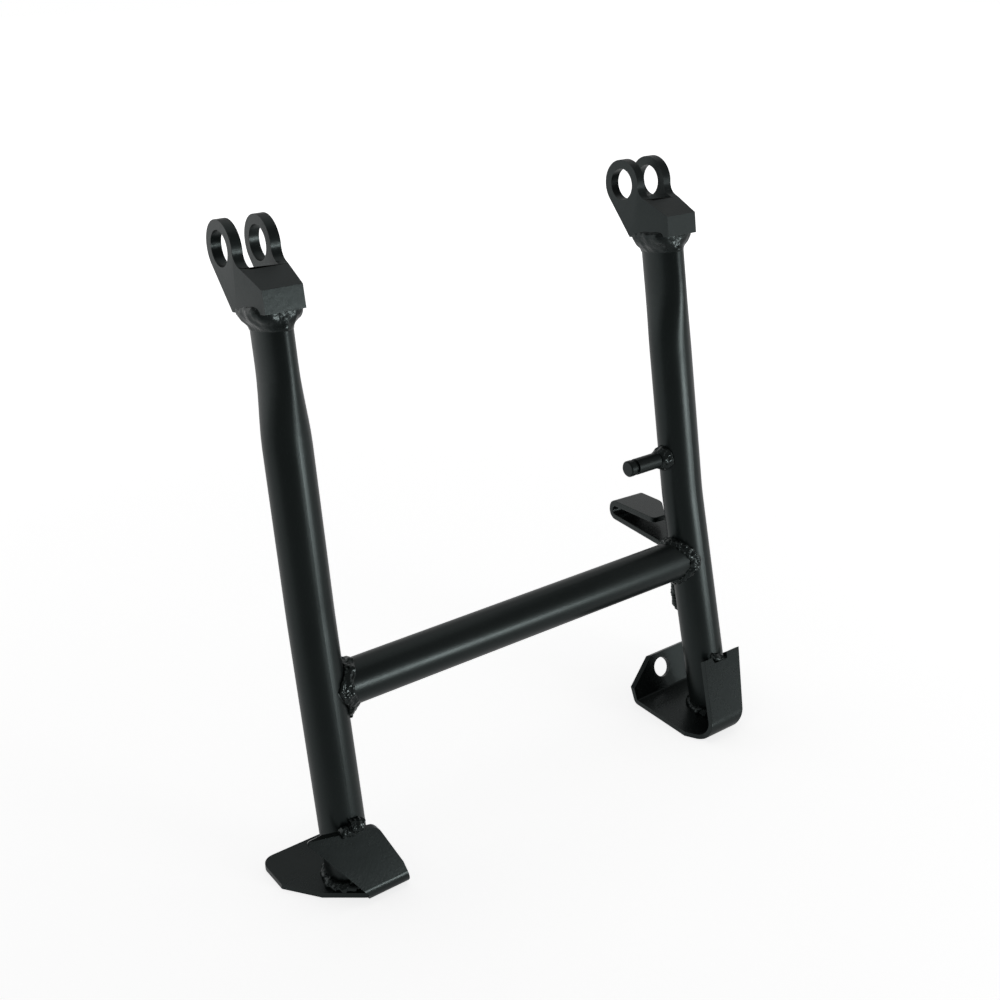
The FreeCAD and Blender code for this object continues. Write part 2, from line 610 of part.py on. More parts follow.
def add_back_plate_cuts(body, label):
    """The right back plate: both top corners cut off, and a hole square to the plate."""
    length = f"{{back_plate_reach}} + {2 * MARGIN}"
    middle = "({right_tread_in} + {tread_out}) / 2"
    top = "-{pivot_height} + {back_plate_height}"
    low = f"{top} - {{back_plate_chamfer_z}}"
    for name, edge, inward in (("inner", "{right_tread_in}", 1), ("outer", "{tread_out}", -1)):
        corner = new_sketch(body, f"{label}_{name}_corner", "front", length)
        out = f"{edge} - {inward * MARGIN}"
        end = f"{middle} - {inward} * {{back_plate_top_width}} / 2"
        draw_outline(corner, [
            (edge, low), (end, top), (end, f"{top} + {MARGIN}"), (out, f"{top} + {MARGIN}"), (out, low)])
        pocket(body, f"{label}_{name}_corner_cut", corner, length)
    lean = math.radians(size("back_plate_lean"))
    rise = size("shoe_hole_height") - size("sheet_thickness")
    centre_y = -size("back_plate_reach") + rise * math.tan(lean)
    hole = body.newObject("Sketcher::SketchObject", label + "_hole")
    hole.AttachmentSupport = (origin_plane(body, PLANES["front"]), "")
    hole.MapMode = "FlatFace"
    turn = FreeCAD.Rotation(V(1, 0, 0), -size("back_plate_lean"))
    hole_x = number(f"{middle} - {{shoe_hole_inset}}")
    hole_z = number("-{pivot_height} + {shoe_hole_height}")
    hole.AttachmentOffset = FreeCAD.Placement(V(hole_x, hole_z, -centre_y), turn)
    draw_circle(hole, ("0", "0"), "{shoe_hole_diameter}")
    pocket(body, label + "_hole_cut", hole, "4 * {sheet_thickness}", midplane=True)


# Spring peg, turned from bar

def make_peg(envelope):
    body = doc.addObject("PartDesign::Body", "spring_peg_body")
    half = "{peg_diameter} / 2"
    neck = f"({half} - {{peg_groove_depth}})"
    root = "{leg_diameter} / 2"
    profile = new_sketch(body, "peg_profile", "front")
    draw_outline(profile, [
        ("0", "0"), ("0", half), (f"-{root} - {{peg_length}} + {{peg_head}} + {{peg_groove_width}}", half),
        (f"-{root} - {{peg_length}} + {{peg_head}} + {{peg_groove_width}}", neck),
        (f"-{root} - {{peg_length}} + {{peg_head}}", neck),
        (f"-{root} - {{peg_length}} + {{peg_head}}", half),
        (f"-{root} - {{peg_length}} + {{peg_chamfer}}", half),
        (f"-{root} - {{peg_length}}", f"{half} - {{peg_chamfer}}"),
        (f"-{root} - {{peg_length}}", "0")])
    turned = body.newObject("PartDesign::Revolution", "peg_turned")
    turned.Profile = profile
    turned.ReferenceAxis = (profile, ["H_Axis"])
    turned.Angle = 360
    doc.recompute()
    body.Placement = FreeCAD.Placement(leg_axis_at(RIGHT, size("peg_drop")), FreeCAD.Rotation())
    doc.recompute()
    return keep_as_cut("spring_peg", body, envelope)


# Foot lever: a strip up the back of the right leg, bent level and curled over at its tip

def lever_back(drop):
    """The line up the back of the right leg that the strip's front face keeps to."""
    down = leg_slope(RIGHT, drop)
    half = size("leg_diameter") / 2 / math.cos(math.atan2(-down.y, -down.z))
    return leg_axis_at(RIGHT, drop).y + half + size("lever_gap")


def make_lever():
    body = doc.addObject("PartDesign::Body", "foot_lever")
    axis = leg_axis_at(RIGHT, size("lever_run_drop"))
    centre = axis.x + size("lever_offset")
    run, tail = size("lever_run_drop"), size("lever_tail_drop")
    thick = size("lever_thickness")
    lean = (lever_back(run) - lever_back(tail)) / (tail - run)
    tilt = math.atan(lean)
    ply = "{lever_thickness}"
    under, over = "-{lever_run_drop}", "-{lever_run_drop} + {lever_thickness}"
    front_low = (f"{lever_back(tail):.6f}", "-{lever_tail_drop}")
    front_high = (f"{lever_back(run - thick):.6f}", over)
    back_low = (f"{lever_back(tail) + thick / math.cos(tilt):.6f}", "-{lever_tail_drop}")
    back_high = (f"{lever_back(run) + thick / math.cos(tilt):.6f}", under)
    top = "-{lever_run_drop} + {lever_curl_height}"
    outline = [
        front_low, front_high, (f"{{lever_tip}} - {ply}", over),
        (f"{{lever_tip}} - {ply}", f"{top} - {ply}"),
        ("-{lever_flap_end}", f"{top} - {ply} + {{lever_flap_rise}}"),
        ("-{lever_flap_end}", f"{top} + {{lever_flap_rise}}"), ("{lever_tip}", top), ("{lever_tip}", under),
        back_high, back_low]
    section = new_sketch(body, "lever_section", "side", f"{centre:.6f} - {{lever_width}} / 2")
    draw_outline(section, outline)
    pad(body, "lever_pad", section, "{lever_width}")
    spot = [V(centre, number(y), number(z)) for y, z in outline]
    fillet(body, "lever_bend", [spot[1]], "{lever_bend_radius}")
    fillet(body, "lever_bend_inside", [spot[8]], "{lever_bend_radius} - {lever_thickness}")
    bend = "({lever_curl_height} - {lever_curl_flat}) / 2"
    fillet(body, "lever_curl", [spot[6], spot[7]], bend)
    fillet(body, "lever_curl_inside", [spot[2], spot[3]], f"{bend} - {{lever_thickness}}")

    # The flap's outer corner is cut off at a slant, and the tail is trimmed on its inner side.
    inner, outer = f"{centre:.6f} - {{lever_width}} / 2", f"{centre:.6f} + {{lever_width}} / 2"
    corner = new_sketch(body, "lever_flap_corner", "plan", f"{under} + 1.5 * {ply}")
    draw_outline(corner, [
        (outer, "-{lever_flap_end} + {lever_flap_cut_y}"),
        (f"{outer} - {{lever_flap_cut_x}}", "-{lever_flap_end}"),
        (f"{outer} - {{lever_flap_cut_x}}", f"-{{lever_flap_end}} - {MARGIN}"),
        (f"{outer} + {MARGIN}", f"-{{lever_flap_end}} - {MARGIN}"),
        (f"{outer} + {MARGIN}", "-{lever_flap_end} + {lever_flap_cut_y}")])
    pocket(body, "lever_flap_corner_cut", corner, "{lever_curl_height} + {lever_flap_rise}", reverse=True)
    shoulder = f"{under} - {{lever_bend_radius}}"
    tail_side = new_sketch(body, "lever_tail_side", "front", f"-({front_low[0]}) + {MARGIN}")
    draw_outline(tail_side, [
        (inner, shoulder), (f"{inner} + {{lever_tail_trim}}", f"{shoulder} - {{lever_tail_shoulder}}"),
        (f"{inner} + {{lever_tail_trim}}", f"-{{lever_tail_drop}} - {MARGIN}"),
        (f"{inner} - {MARGIN}", f"-{{lever_tail_drop}} - {MARGIN}"), (f"{inner} - {MARGIN}", shoulder)])
    pocket(body, "lever_tail_side_cut", tail_side, "{lever_tail_drop} - {lever_run_drop}")
    edge_in, edge_out = centre - size("lever_width") / 2, centre + size("lever_width") / 2
    high = (spot[4].z + spot[5].z) / 2
    fillet(body, "lever_corner_in_round", [V(edge_in, spot[4].y, high)], "{lever_corner_in}")
    # Halfway up the flap where the slant meets its long edge
    blunt = V(edge_out, spot[4].y + size("lever_flap_cut_y"), high)
    share = size("lever_flap_cut_y") / (spot[6].y - spot[5].y)
    blunt.z -= size("lever_flap_rise") * share
    fillet(body, "lever_corner_out_round", [blunt], "{lever_corner_out}")
    body.Label = "foot_lever"
    turn = FreeCAD.Rotation(V(0, 0, 1), -size("lever_turn"))
    body.Placement = FreeCAD.Placement(axis - turn.multVec(axis), turn)
    doc.recompute()
    return body


# Weld beads. Each one is the room round a joint, less the two pieces that it joins.

def rod(start, end, radius):
    return Part.makeCylinder(radius, (end - start).Length, start, end - start)


def make_clevis_weld(side, envelope):
    """A collar of weld under the clevis, nearly as wide as its seat and chamfered to the leg."""
    top, bend, _ = leg_points(side)
    down = (bend - top).normalize()
    wide, long, run = size("skirt_width"), size("skirt_depth"), size("skirt_drop")
    collar = Part.makeBox(wide, long, run, V(-wide / 2, -long / 2, -run))
    upright = [edge for edge in collar.Edges if edge.BoundBox.ZLength > run / 2]
    collar = collar.makeFillet(size("skirt_corner"), upright)
    lower_rim = [edge for edge in collar.Edges if edge.BoundBox.ZMax < -run / 2]
    collar = collar.makeChamfer(size("skirt_taper"), lower_rim)
    across = V(1, 0, 0) - down * down.x
    across.normalize()
    up = down * -1
    turn = FreeCAD.Rotation(across, up.cross(across), up, "XYZ")
    collar.Placement = FreeCAD.Placement(top + down * size("clevis_seat"), turn)
    return keep_shape(name_of(side, "clevis_weld"), largest(collar.cut(envelope.Shape)))


def largest(shape):
    return max(shape.Solids, key=lambda solid: solid.Volume)


def make_cross_weld(side, lever, envelope):
    axis = leg_axis_at(side, size("cross_drop"))
    down = leg_slope(side, size("cross_drop"))
    bead = size("bead_size")
    round_leg = rod(axis - down * far(), axis + down * far(), size("leg_diameter") / 2 + bead)
    inner_end = V(axis.x - side * far(), axis.y, axis.z)
    round_cross = rod(inner_end, axis, size("cross_diameter") / 2 + bead)
    solid_cross = rod(inner_end, axis, size("cross_diameter") / 2)
    reach = size("weld_reach")
    start = axis.x + reach - far() if side == LEFT else axis.x - reach
    room = Part.makeBox(far(), 2 * far(), 2 * far(), V(start, axis.y - far(), axis.z - far()))
    shape = round_leg.common(round_cross).cut(solid_cross).cut(envelope.Shape)
    shape = shape.cut(room).cut(lever.Shape)
    return keep_shape(name_of(side, "cross_weld"), largest(shape))


def make_sole_weld(side, shoe, envelope):
    _, bend, foot = leg_points(side)
    down = (foot - bend).normalize()
    half, proud, rise = size("leg_diameter") / 2, size("sole_bead"), size("sole_bead_rise")
    start, end = foot + down * rise, foot - down * rise
    cone = Part.makeCone(half + 2 * proud, half + size("bead_feather"), 2 * rise, start, end - start)
    sole_top = -size("pivot_height") + size("sheet_thickness")
    low = Part.makeBox(2 * far(), 2 * far(), far(), V(foot.x - far(), foot.y - far(), sole_top - far()))
    shape = cone.cut(low).cut(envelope.Shape).cut(shoe.Shape)
    return keep_shape(name_of(side, "sole_weld"), largest(shape))


def make_front_weld(side, shoe, room):
    """A bead laid in the notch of the front wall, up against the leg."""
    low = wall_drop(side) + size(name_of(side, "notch_depth"))
    radius, half = size("wall_bead"), size("wall_bead_length") / 2
    ahead = leg_front(side, low - radius / 2) + size("seat_gap")
    middle = V(leg_axis_at(side, low).x, -ahead - radius / 6, -low + radius / 2)
    bead = rod(middle - V(half, 0, 0), middle + V(half, 0, 0), radius)
    rims = [edge for edge in bead.Edges if edge.Closed]
    bead = bead.makeChamfer(radius / 2, rims)
    shape = bead.cut(room.Shape).cut(shoe.Shape)
    return keep_shape(name_of(side, "wall_weld"), largest(shape))


def make_peg_weld(peg, envelope):
    start = leg_axis_at(RIGHT, size("peg_drop"))
    half = size("leg_diameter") / 2
    proud = size("peg_bead")
    reach = half + proud
    sunk = half * 0.7
    peg_half = size("peg_diameter") / 2
    cone = Part.makeCone(peg_half + 1.6 * proud, peg_half + size("bead_feather"),
                         reach - sunk, start - V(sunk, 0, 0), V(-1, 0, 0))
    bar = rod(start, start - V(2 * reach, 0, 0), peg_half)
    shape = cone.cut(bar).cut(envelope.Shape)
    return keep_shape("peg_weld", largest(shape))


def make_lever_welds(lever, envelope, crossing):
    """Beads down both edges of the strip and one over it, in the corner with the leg."""
    run, tail = size("lever_run_drop"), size("lever_tail_drop")
    axis = leg_axis_at(RIGHT, run)
    turn = FreeCAD.Rotation(V(0, 0, 1), -size("lever_turn"))
    bead = size("bead_size")
    pieces = []
    low = tail - size("lever_bead_start")
    for name, sign, trim in (("inner", -1, size("lever_tail_trim")), ("outer", 1, 0.0)):
        ends = []
        for drop in (low, low - size("lever_bead_length")):
            beside = sign * (size("lever_width") / 2 - trim - size("lever_bead_inset"))
            corner = V(axis.x + size("lever_offset") + beside, lever_back(drop) + bead / 6, -drop)
            ends.append(turn.multVec(corner - axis) + axis)
        shape = rod(ends[0], ends[1], bead).cut(envelope.Shape).cut(lever.Shape)
        pieces.append(keep_shape(f"lever_{name}_weld", largest(shape)))
    over = run - size("lever_thickness")
    seat = leg_axis_at(RIGHT, over)
    down = leg_slope(RIGHT, over)
    collar = rod(seat - down * far(), seat + down * far(), size("leg_diameter") / 2 + bead)
    ledge = Part.makeBox(size("lever_top_bead_width"), size("leg_diameter"), bead,
                         V(seat.x - size("lever_top_bead_inset"), seat.y, -over))
    shape = collar.common(ledge).cut(envelope.Shape).cut(lever.Shape)
    for piece in crossing:
        shape = shape.cut(piece.Shape)
    pieces.append(keep_shape("lever_top_weld", largest(shape)))
    return pieces


# Assembly

pieces = []
outsides = {}
rooms = {}
for side in (LEFT, RIGHT):
    outsides[side] = doc.addObject("Part::Feature", name_of(side, "leg_outside"))
    outsides[side].Shape = leg_solid(side, 0.0)
    rooms[side] = doc.addObject("Part::Feature", name_of(side, "leg_room"))
    rooms[side].Shape = leg_solid(side, -size("seat_gap"))
    pieces.append(make_clevis(side))
    pieces.append(make_leg(side, outsides[side]))
cross_tube = make_cross_tube(list(rooms.values()))
pieces.append(cross_tube)
peg = make_peg(rooms[RIGHT])
pieces.append(peg)
lever = make_lever()
pieces.append(lever)
for side in (LEFT, RIGHT):
    room = rooms[side]
    shoe = make_shoe(side, room)
    pieces.append(shoe)
    pieces.append(make_clevis_weld(side, room))
    cross_weld = make_cross_weld(side, lever, room)
    pieces.append(cross_weld)
    pieces.append(make_sole_weld(side, shoe, room))
    pieces.append(make_front_weld(side, shoe, room))
pieces.append(make_peg_weld(peg, rooms[RIGHT]))
pieces.extend(make_lever_welds(lever, rooms[RIGHT], [cross_tube, cross_weld]))

doc.recompute()
for item in doc.Objects:
    if "Invalid" in item.State or "Error" in item.State:
        raise RuntimeError(f"{item.Label} did not recompute: {item.State}")
for piece in pieces:
    shape = piece.Shape
    if shape.isNull() or not shape.isValid():
        raise RuntimeError(f"{piece.Label} is not a valid shape")
    if len(shape.Solids) != 1:
        raise RuntimeError(f"{piece.Label} has {len(shape.Solids)} solids")
    shape.exportStep(f"parts/{piece.Label}.step")
    box = shape.BoundBox
    print(f"{piece.Label}: {shape.Volume:.0f} mm3, "
          f"x {box.XMin:.1f} to {box.XMax:.1f}, y {box.YMin:.1f} to {box.YMax:.1f}, "
          f"z {box.ZMin:.1f} to {box.ZMax:.1f}")
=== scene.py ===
# %% [markdown]
# # A motorcycle's centre stand
#
# This lesson dresses a CAD model of a welded centre stand: two bent tube legs, a cross tube, two forked
# clevises, two shoes folded from sheet, a spring peg and a curled foot lever. The CAD model is the frame
# that everything keeps to. What Blender adds is what paint and welding do to such a part: rounded sheet
# edges, rippled weld beads and a satin black coat with its texture, dust and small scuffs.

# %% The fixed frame
import math
import bmesh
import bpy
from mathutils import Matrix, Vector, noise


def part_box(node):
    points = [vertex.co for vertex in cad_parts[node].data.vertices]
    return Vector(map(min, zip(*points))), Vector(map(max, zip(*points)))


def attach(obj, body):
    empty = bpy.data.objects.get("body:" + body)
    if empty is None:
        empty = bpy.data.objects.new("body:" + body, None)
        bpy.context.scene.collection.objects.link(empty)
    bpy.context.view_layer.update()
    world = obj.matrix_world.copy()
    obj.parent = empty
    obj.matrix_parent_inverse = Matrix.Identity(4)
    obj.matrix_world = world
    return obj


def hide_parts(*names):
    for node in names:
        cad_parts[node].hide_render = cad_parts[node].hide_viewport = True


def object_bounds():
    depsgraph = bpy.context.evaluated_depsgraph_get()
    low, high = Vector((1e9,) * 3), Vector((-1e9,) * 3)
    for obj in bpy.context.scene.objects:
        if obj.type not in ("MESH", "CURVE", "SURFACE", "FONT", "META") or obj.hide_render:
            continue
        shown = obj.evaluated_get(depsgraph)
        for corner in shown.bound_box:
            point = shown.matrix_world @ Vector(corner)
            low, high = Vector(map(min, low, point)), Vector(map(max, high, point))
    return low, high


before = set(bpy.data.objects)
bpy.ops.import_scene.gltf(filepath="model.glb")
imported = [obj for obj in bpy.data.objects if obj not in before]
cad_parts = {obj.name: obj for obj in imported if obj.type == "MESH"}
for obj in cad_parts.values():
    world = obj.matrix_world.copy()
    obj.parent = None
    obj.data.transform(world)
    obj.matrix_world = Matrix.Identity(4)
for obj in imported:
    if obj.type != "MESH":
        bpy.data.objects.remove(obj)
CAD_BOX = [list(corner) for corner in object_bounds()]
print("CAD nodes:", len(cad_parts))

# %% [markdown]
# The CAD model is in metres here, with its origin in the middle of the pivot axis: X runs along that
# axis, Y to the rear and Z up. The few lengths that the weld beads need are written once, in millimetres,
# as the drawing has them, and `MM` turns them into metres. The two legs mirror each other, so one table
# of corners serves both, with a sign for the side.

# %% Lengths that the beads follow
MM = 0.001
CLEVIS_CENTRE = 143.0 * MM
LEG_RADIUS = 14.0 * MM
CROSS_RADIUS = 13.75 * MM
CROSS_HEIGHT = -249.6 * MM
PEG_RADIUS = 5.5 * MM
PEG_HEIGHT = -177.4 * MM
SOLE_TOP = -361.5 * MM
SIDES = {"left": -1, "right": 1}

# Corners of a leg's axis: outwards from the clevis, Y and Z
LEG_CORNERS = ((0.0, -24.5, -30.2), (3.4, -54.8, -204.5), (8.4, -91.4, -361.5))
AT_CLEVIS, AT_BEND, ON_SOLE = range(3)


def leg_corner(sign, index):
    """One corner of a leg's axis."""
    out, y, z = LEG_CORNERS[index]
    return Vector((sign * (CLEVIS_CENTRE + out * MM), y * MM, z * MM))


def leg_axis(sign, height):
    """A point of a leg's axis and the unit vector down the leg, at this height."""
    first = AT_CLEVIS if height > LEG_CORNERS[AT_BEND][2] * MM else AT_BEND
    high, low = leg_corner(sign, first), leg_corner(sign, first + 1)
    share = (height - high.z) / (low.z - high.z)
    return high.lerp(low, share), (low - high).normalized()


print("bend of the right leg:", [round(v, 4) for v in leg_corner(1, AT_BEND)])


# %% [markdown]
# ## Steps that every piece needs
#
# Each new piece is linked to the scene, kept as the plain mesh that its modifiers make, and shown in
# place of its CAD node. The node itself is hidden, and stays in the frame for its collision.

# %% Helpers for pieces
def add_object(name, data):
    """Put an object with this data into the scene."""
    made = bpy.data.objects.new(name, data)
    bpy.context.scene.collection.objects.link(made)
    return made


def mesh_from(form, name):
    """Turn a bmesh into a mesh."""
    mesh = bpy.data.meshes.new(name)
    form.to_mesh(mesh)
    form.free()
    return mesh


def shade_smooth(mesh):
    for face in mesh.polygons:
        face.use_smooth = True


def plain_mesh(piece):
    """What a piece's modifiers make of it, as a mesh."""
    return bpy.data.meshes.new_from_object(piece.evaluated_get(bpy.context.evaluated_depsgraph_get()))


def keep_modifiers(piece):
    """Give a piece the mesh that its modifiers make, and remove them."""
    made = plain_mesh(piece)
    piece.modifiers.clear()
    piece.data = made
    return made


def stand_for(piece, node):
    """Show a piece in place of its CAD node."""
    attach(piece, "root")
    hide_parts(node)


# %% [markdown]
# ## Paint
#
# The whole stand is sprayed satin black. Paint on steel is never one flat value: the coat has a fine
# orange peel, its gloss wanders a little, and dust settles where it isn't wiped. Both effects are used
# by more than one material, so each is a shader node group with named inputs. The groups only give out
# masks and heights; the shader itself stays in the material.

# %% Helpers for node trees
def socket(tree, name, kind, value=None, out=False):
    """Add a named socket to a node group."""
    item = tree.interface.new_socket(name=name, in_out="OUTPUT" if out else "INPUT", socket_type=kind)
    if value is not None:
        item.default_value = value


def put(tree, kind, at, values=None, **settings):
    """Place a node, set its properties and then the values of its inputs."""
    node = tree.nodes.new(kind)
    node.location = at
    for name, value in settings.items():
        setattr(node, name, value)
    for name, value in (values or {}).items():
        node.inputs[name].default_value = value
    return node


def join(tree, start, end):
    """Link an output to an input."""
    tree.links.new(start, end)


def maths(tree, operation, first, second, at, clamp=False):
    """A Math node. Its inputs are sockets or numbers, and the second is None where it takes only one."""
    node = put(tree, "ShaderNodeMath", at, operation=operation, use_clamp=clamp)
    for index, value in enumerate((first, second)):
        if value is None:
            continue
        if hasattr(value, "is_linked"):
            join(tree, value, node.inputs[index])
        else:
            node.inputs[index].default_value = value
    return node.outputs[0]


# %% Orange peel: the skin of a sprayed coat
def build_orange_peel():
    """Height of a sprayed coat: soft dimples with a finer grain over them."""
    tree = bpy.data.node_groups.new("orange_peel", "ShaderNodeTree")
    socket(tree, "Dimple Scale", "NodeSocketFloat", 700.0)
    socket(tree, "Grain Scale", "NodeSocketFloat", 3200.0)
    socket(tree, "Grain Share", "NodeSocketFloat", 0.3)
    socket(tree, "Height", "NodeSocketFloat", out=True)
    inputs = put(tree, "NodeGroupInput", (-700, 0))
    outputs = put(tree, "NodeGroupOutput", (300, 0))
    place = put(tree, "ShaderNodeTexCoord", (-700, -250)).outputs["Object"]
    dimples = put(tree, "ShaderNodeTexNoise", (-450, 100), {"Detail": 1.0})
    grain = put(tree, "ShaderNodeTexNoise", (-450, -200), {"Detail": 2.0})
    for texture, scale in ((dimples, "Dimple Scale"), (grain, "Grain Scale")):
        join(tree, place, texture.inputs["Vector"])
        join(tree, inputs.outputs[scale], texture.inputs["Scale"])
    fine = maths(tree, "MULTIPLY", grain.outputs["Fac"], inputs.outputs["Grain Share"], (-200, -200))
    join(tree, maths(tree, "ADD", dimples.outputs["Fac"], fine, (50, 0)), outputs.inputs["Height"])
    return tree


ORANGE_PEEL = build_orange_peel()
print("group:", ORANGE_PEEL.name)

# %% [markdown]
# Dust lies on faces that look up, so its mask comes from the normal's height. A scuff is a short streak
# where a boot or a spanner went by: noise that is stretched along one direction, and of which only the
# highest crests are kept.

# %% Dust and handling marks
DUST_SPECK_SCALE = 900.0
DUST_FACING_GAIN = 1.4
SCUFF_STRETCH = (1.0, 1.0, 0.16)
SCUFF_TURN = (0.5, 0.3, 0.2)
SCUFF_START = 0.63
SCUFF_CONTRAST = 9.0


def build_coat_age():
    """Masks of settled dust, patches of changed gloss and fine scuffs."""
    tree = bpy.data.node_groups.new("coat_age", "ShaderNodeTree")
    socket(tree, "Patch Scale", "NodeSocketFloat", 22.0)
    socket(tree, "Scuff Scale", "NodeSocketFloat", 160.0)
    for mask in ("Dust", "Patches", "Scuffs"):
        socket(tree, mask, "NodeSocketFloat", out=True)
    inputs = put(tree, "NodeGroupInput", (-900, 0))
    outputs = put(tree, "NodeGroupOutput", (500, 0))
    place = put(tree, "ShaderNodeTexCoord", (-900, -300)).outputs["Object"]

    patches = put(tree, "ShaderNodeTexNoise", (-650, 50), {"Detail": 4.0, "Roughness": 0.6})
    join(tree, place, patches.inputs["Vector"])
    join(tree, inputs.outputs["Patch Scale"], patches.inputs["Scale"])
    join(tree, patches.outputs["Fac"], outputs.inputs["Patches"])

    upward = put(tree, "ShaderNodeSeparateXYZ", (-650, 350))
    join(tree, put(tree, "ShaderNodeNewGeometry", (-900, 350)).outputs["Normal"], upward.inputs[0])
    facing = maths(tree, "MULTIPLY", upward.outputs["Z"], DUST_FACING_GAIN, (-400, 350), clamp=True)
    speck = put(tree, "ShaderNodeTexNoise", (-650, -250), {"Scale": DUST_SPECK_SCALE, "Detail": 3.0})
    join(tree, place, speck.inputs["Vector"])
    dust = maths(tree, "MULTIPLY", facing, speck.outputs["Fac"], (-150, 350))
    join(tree, maths(tree, "MULTIPLY", dust, patches.outputs["Fac"], (100, 350)), outputs.inputs["Dust"])

    streaks = put(tree, "ShaderNodeMapping", (-650, -500), {"Scale": SCUFF_STRETCH, "Rotation": SCUFF_TURN})
    join(tree, place, streaks.inputs["Vector"])
    scuff = put(tree, "ShaderNodeTexNoise", (-400, -500), {"Detail": 6.0, "Roughness": 0.75})
    join(tree, streaks.outputs[0], scuff.inputs["Vector"])
    join(tree, inputs.outputs["Scuff Scale"], scuff.inputs["Scale"])
    lifted = maths(tree, "SUBTRACT", scuff.outputs["Fac"], SCUFF_START, (-150, -500))
    crests = maths(tree, "MULTIPLY", lifted, SCUFF_CONTRAST, (100, -500), clamp=True)
    join(tree, crests, outputs.inputs["Scuffs"])
    return tree


COAT_AGE = build_coat_age()
print("group:", COAT_AGE.name)

# %% [markdown]
# Six paints come from these groups. Tubes, sheets and forgings carry the same coat over smoother or
# coarser metal. On the weld beads it lies thicker and shines a little more, and a coarser dimple shows
# the spatter that was painted over. On edges the coat is thin and painted paler. This is partly the thin coat
# and partly a painted highlight for the light that a rounded edge catches. The sheen of this black is a
# little cool, and that tint is the same everywhere, so it is set on the shader's own socket.

# %% Colour and gloss of the coat
DARK_PATCH = 0.80
PALE_PATCH = 1.22
DUST_COLOUR = (0.09, 0.09, 0.085, 1.0)
DUST_SHARE = 0.22
ROUGHNESS_SWING = 0.16
SCUFF_DULLING = 0.14


def toned(shade, factor):
    """A shade made darker or paler, with full alpha."""
    return (*[channel * factor for channel in shade], 1.0)


def coat_colour(tree, age, shade):
    """Darker and paler patches, with the dust on top of them."""
    colour = put(tree, "ShaderNodeMix", (-600, 300),
                 {"A": toned(shade, DARK_PATCH), "B": toned(shade, PALE_PATCH)}, data_type="RGBA")
    join(tree, age.outputs["Patches"], colour.inputs["Factor"])
    dusty = put(tree, "ShaderNodeMix", (-350, 300), {"B": DUST_COLOUR}, data_type="RGBA")
    dust = maths(tree, "MULTIPLY", age.outputs["Dust"], DUST_SHARE, (-600, 60))
    join(tree, dust, dusty.inputs["Factor"])
    join(tree, colour.outputs["Result"], dusty.inputs["A"])
    return dusty.outputs["Result"]


def coat_roughness(tree, age, roughness):
    """Gloss that wanders from patch to patch and is duller where the coat is scuffed."""
    swing = maths(tree, "MULTIPLY", age.outputs["Patches"], ROUGHNESS_SWING, (-600, -100))
    rough = maths(tree, "ADD", swing, roughness - ROUGHNESS_SWING / 2, (-400, -100))
    worn = maths(tree, "MULTIPLY", age.outputs["Scuffs"], SCUFF_DULLING, (-600, -220))
    return maths(tree, "ADD", rough, worn, (-200, -100))


# %% Relief of the coat, and a whole paint
COOL_SHEEN = (0.84, 1.0, 0.99, 1.0)
PAINT_IOR = 1.5
RELIEF_DEPTH = 0.2 * MM
SPATTER_SCALE = 420.0


def coat_relief(tree, dimples, peel, spatter):
    """Orange peel, with spatter under it where there is some."""
    skin = put(tree, "ShaderNodeGroup", (-900, -300), {"Dimple Scale": dimples}, node_tree=ORANGE_PEEL)
    height = skin.outputs["Height"]
    if spatter:
        beads = put(tree, "ShaderNodeTexVoronoi", (-900, -600), feature="SMOOTH_F1")
        beads.inputs["Scale"].default_value = SPATTER_SCALE
        place = put(tree, "ShaderNodeTexCoord", (-1100, -600)).outputs["Object"]
        join(tree, place, beads.inputs["Vector"])
        lumps = maths(tree, "MULTIPLY", beads.outputs["Distance"], -spatter, (-650, -600))
        height = maths(tree, "ADD", height, lumps, (-450, -500))
    bump = put(tree, "ShaderNodeBump", (-250, -400), {"Strength": peel, "Distance": RELIEF_DEPTH})
    join(tree, height, bump.inputs["Height"])
    return bump.outputs["Normal"]


def make_paint(name, shade, roughness, peel, dimples, spatter=0.0):
    """Satin black paint: colour, gloss and relief all vary a little over the surface."""
    paint = bpy.data.materials.new(name)
    paint.use_nodes = True
    tree = paint.node_tree
    shader = tree.nodes["Principled BSDF"]
    for constant, value in (("Metallic", 0.0), ("IOR", PAINT_IOR), ("Specular Tint", COOL_SHEEN)):
        shader.inputs[constant].default_value = value
    age = put(tree, "ShaderNodeGroup", (-900, 100), node_tree=COAT_AGE)
    join(tree, coat_colour(tree, age, shade), shader.inputs["Base Color"])
    join(tree, coat_roughness(tree, age, roughness), shader.inputs["Roughness"])
    join(tree, coat_relief(tree, dimples, peel, spatter), shader.inputs["Normal"])
    print("paint:", name)
    return paint


# %% The six paints
TUBE_PAINT = make_paint("satin_black_on_tube", (0.0070, 0.0098, 0.0096),
                        roughness=0.34, peel=0.10, dimples=650.0)
SHEET_PAINT = make_paint("satin_black_on_sheet", (0.0066, 0.0092, 0.0090),
                         roughness=0.27, peel=0.14, dimples=750.0)
FORGED_PAINT = make_paint("satin_black_on_forging", (0.0085, 0.0115, 0.0114),
                          roughness=0.32, peel=0.22, dimples=380.0)
WELD_PAINT = make_paint("thick_black_on_weld", (0.0080, 0.0105, 0.0103),
                        roughness=0.20, peel=0.08, dimples=900.0, spatter=0.25)
COLLAR_PAINT = make_paint("thick_black_on_collar", (0.0080, 0.0105, 0.0103),
                          roughness=0.27, peel=0.08, dimples=900.0, spatter=0.2)
# Edges: a thin coat, with a paler colour that is also a painted highlight for the light on a rounded edge
THIN_COAT_AND_HIGHLIGHT_PAINT = make_paint("thin_black_and_painted_highlight_on_edge", (0.0320, 0.0365, 0.0360),
                        roughness=0.26, peel=0.10, dimples=900.0)

# %% [markdown]
# The tubes and the peg are round already, so their CAD meshes stay and only get their paint.

# %% Painting the tubes and the peg
def dress(piece, paint):
    """Give a piece one paint in place of what it came with."""
    piece.data.materials.clear()
    piece.data.materials.append(paint)


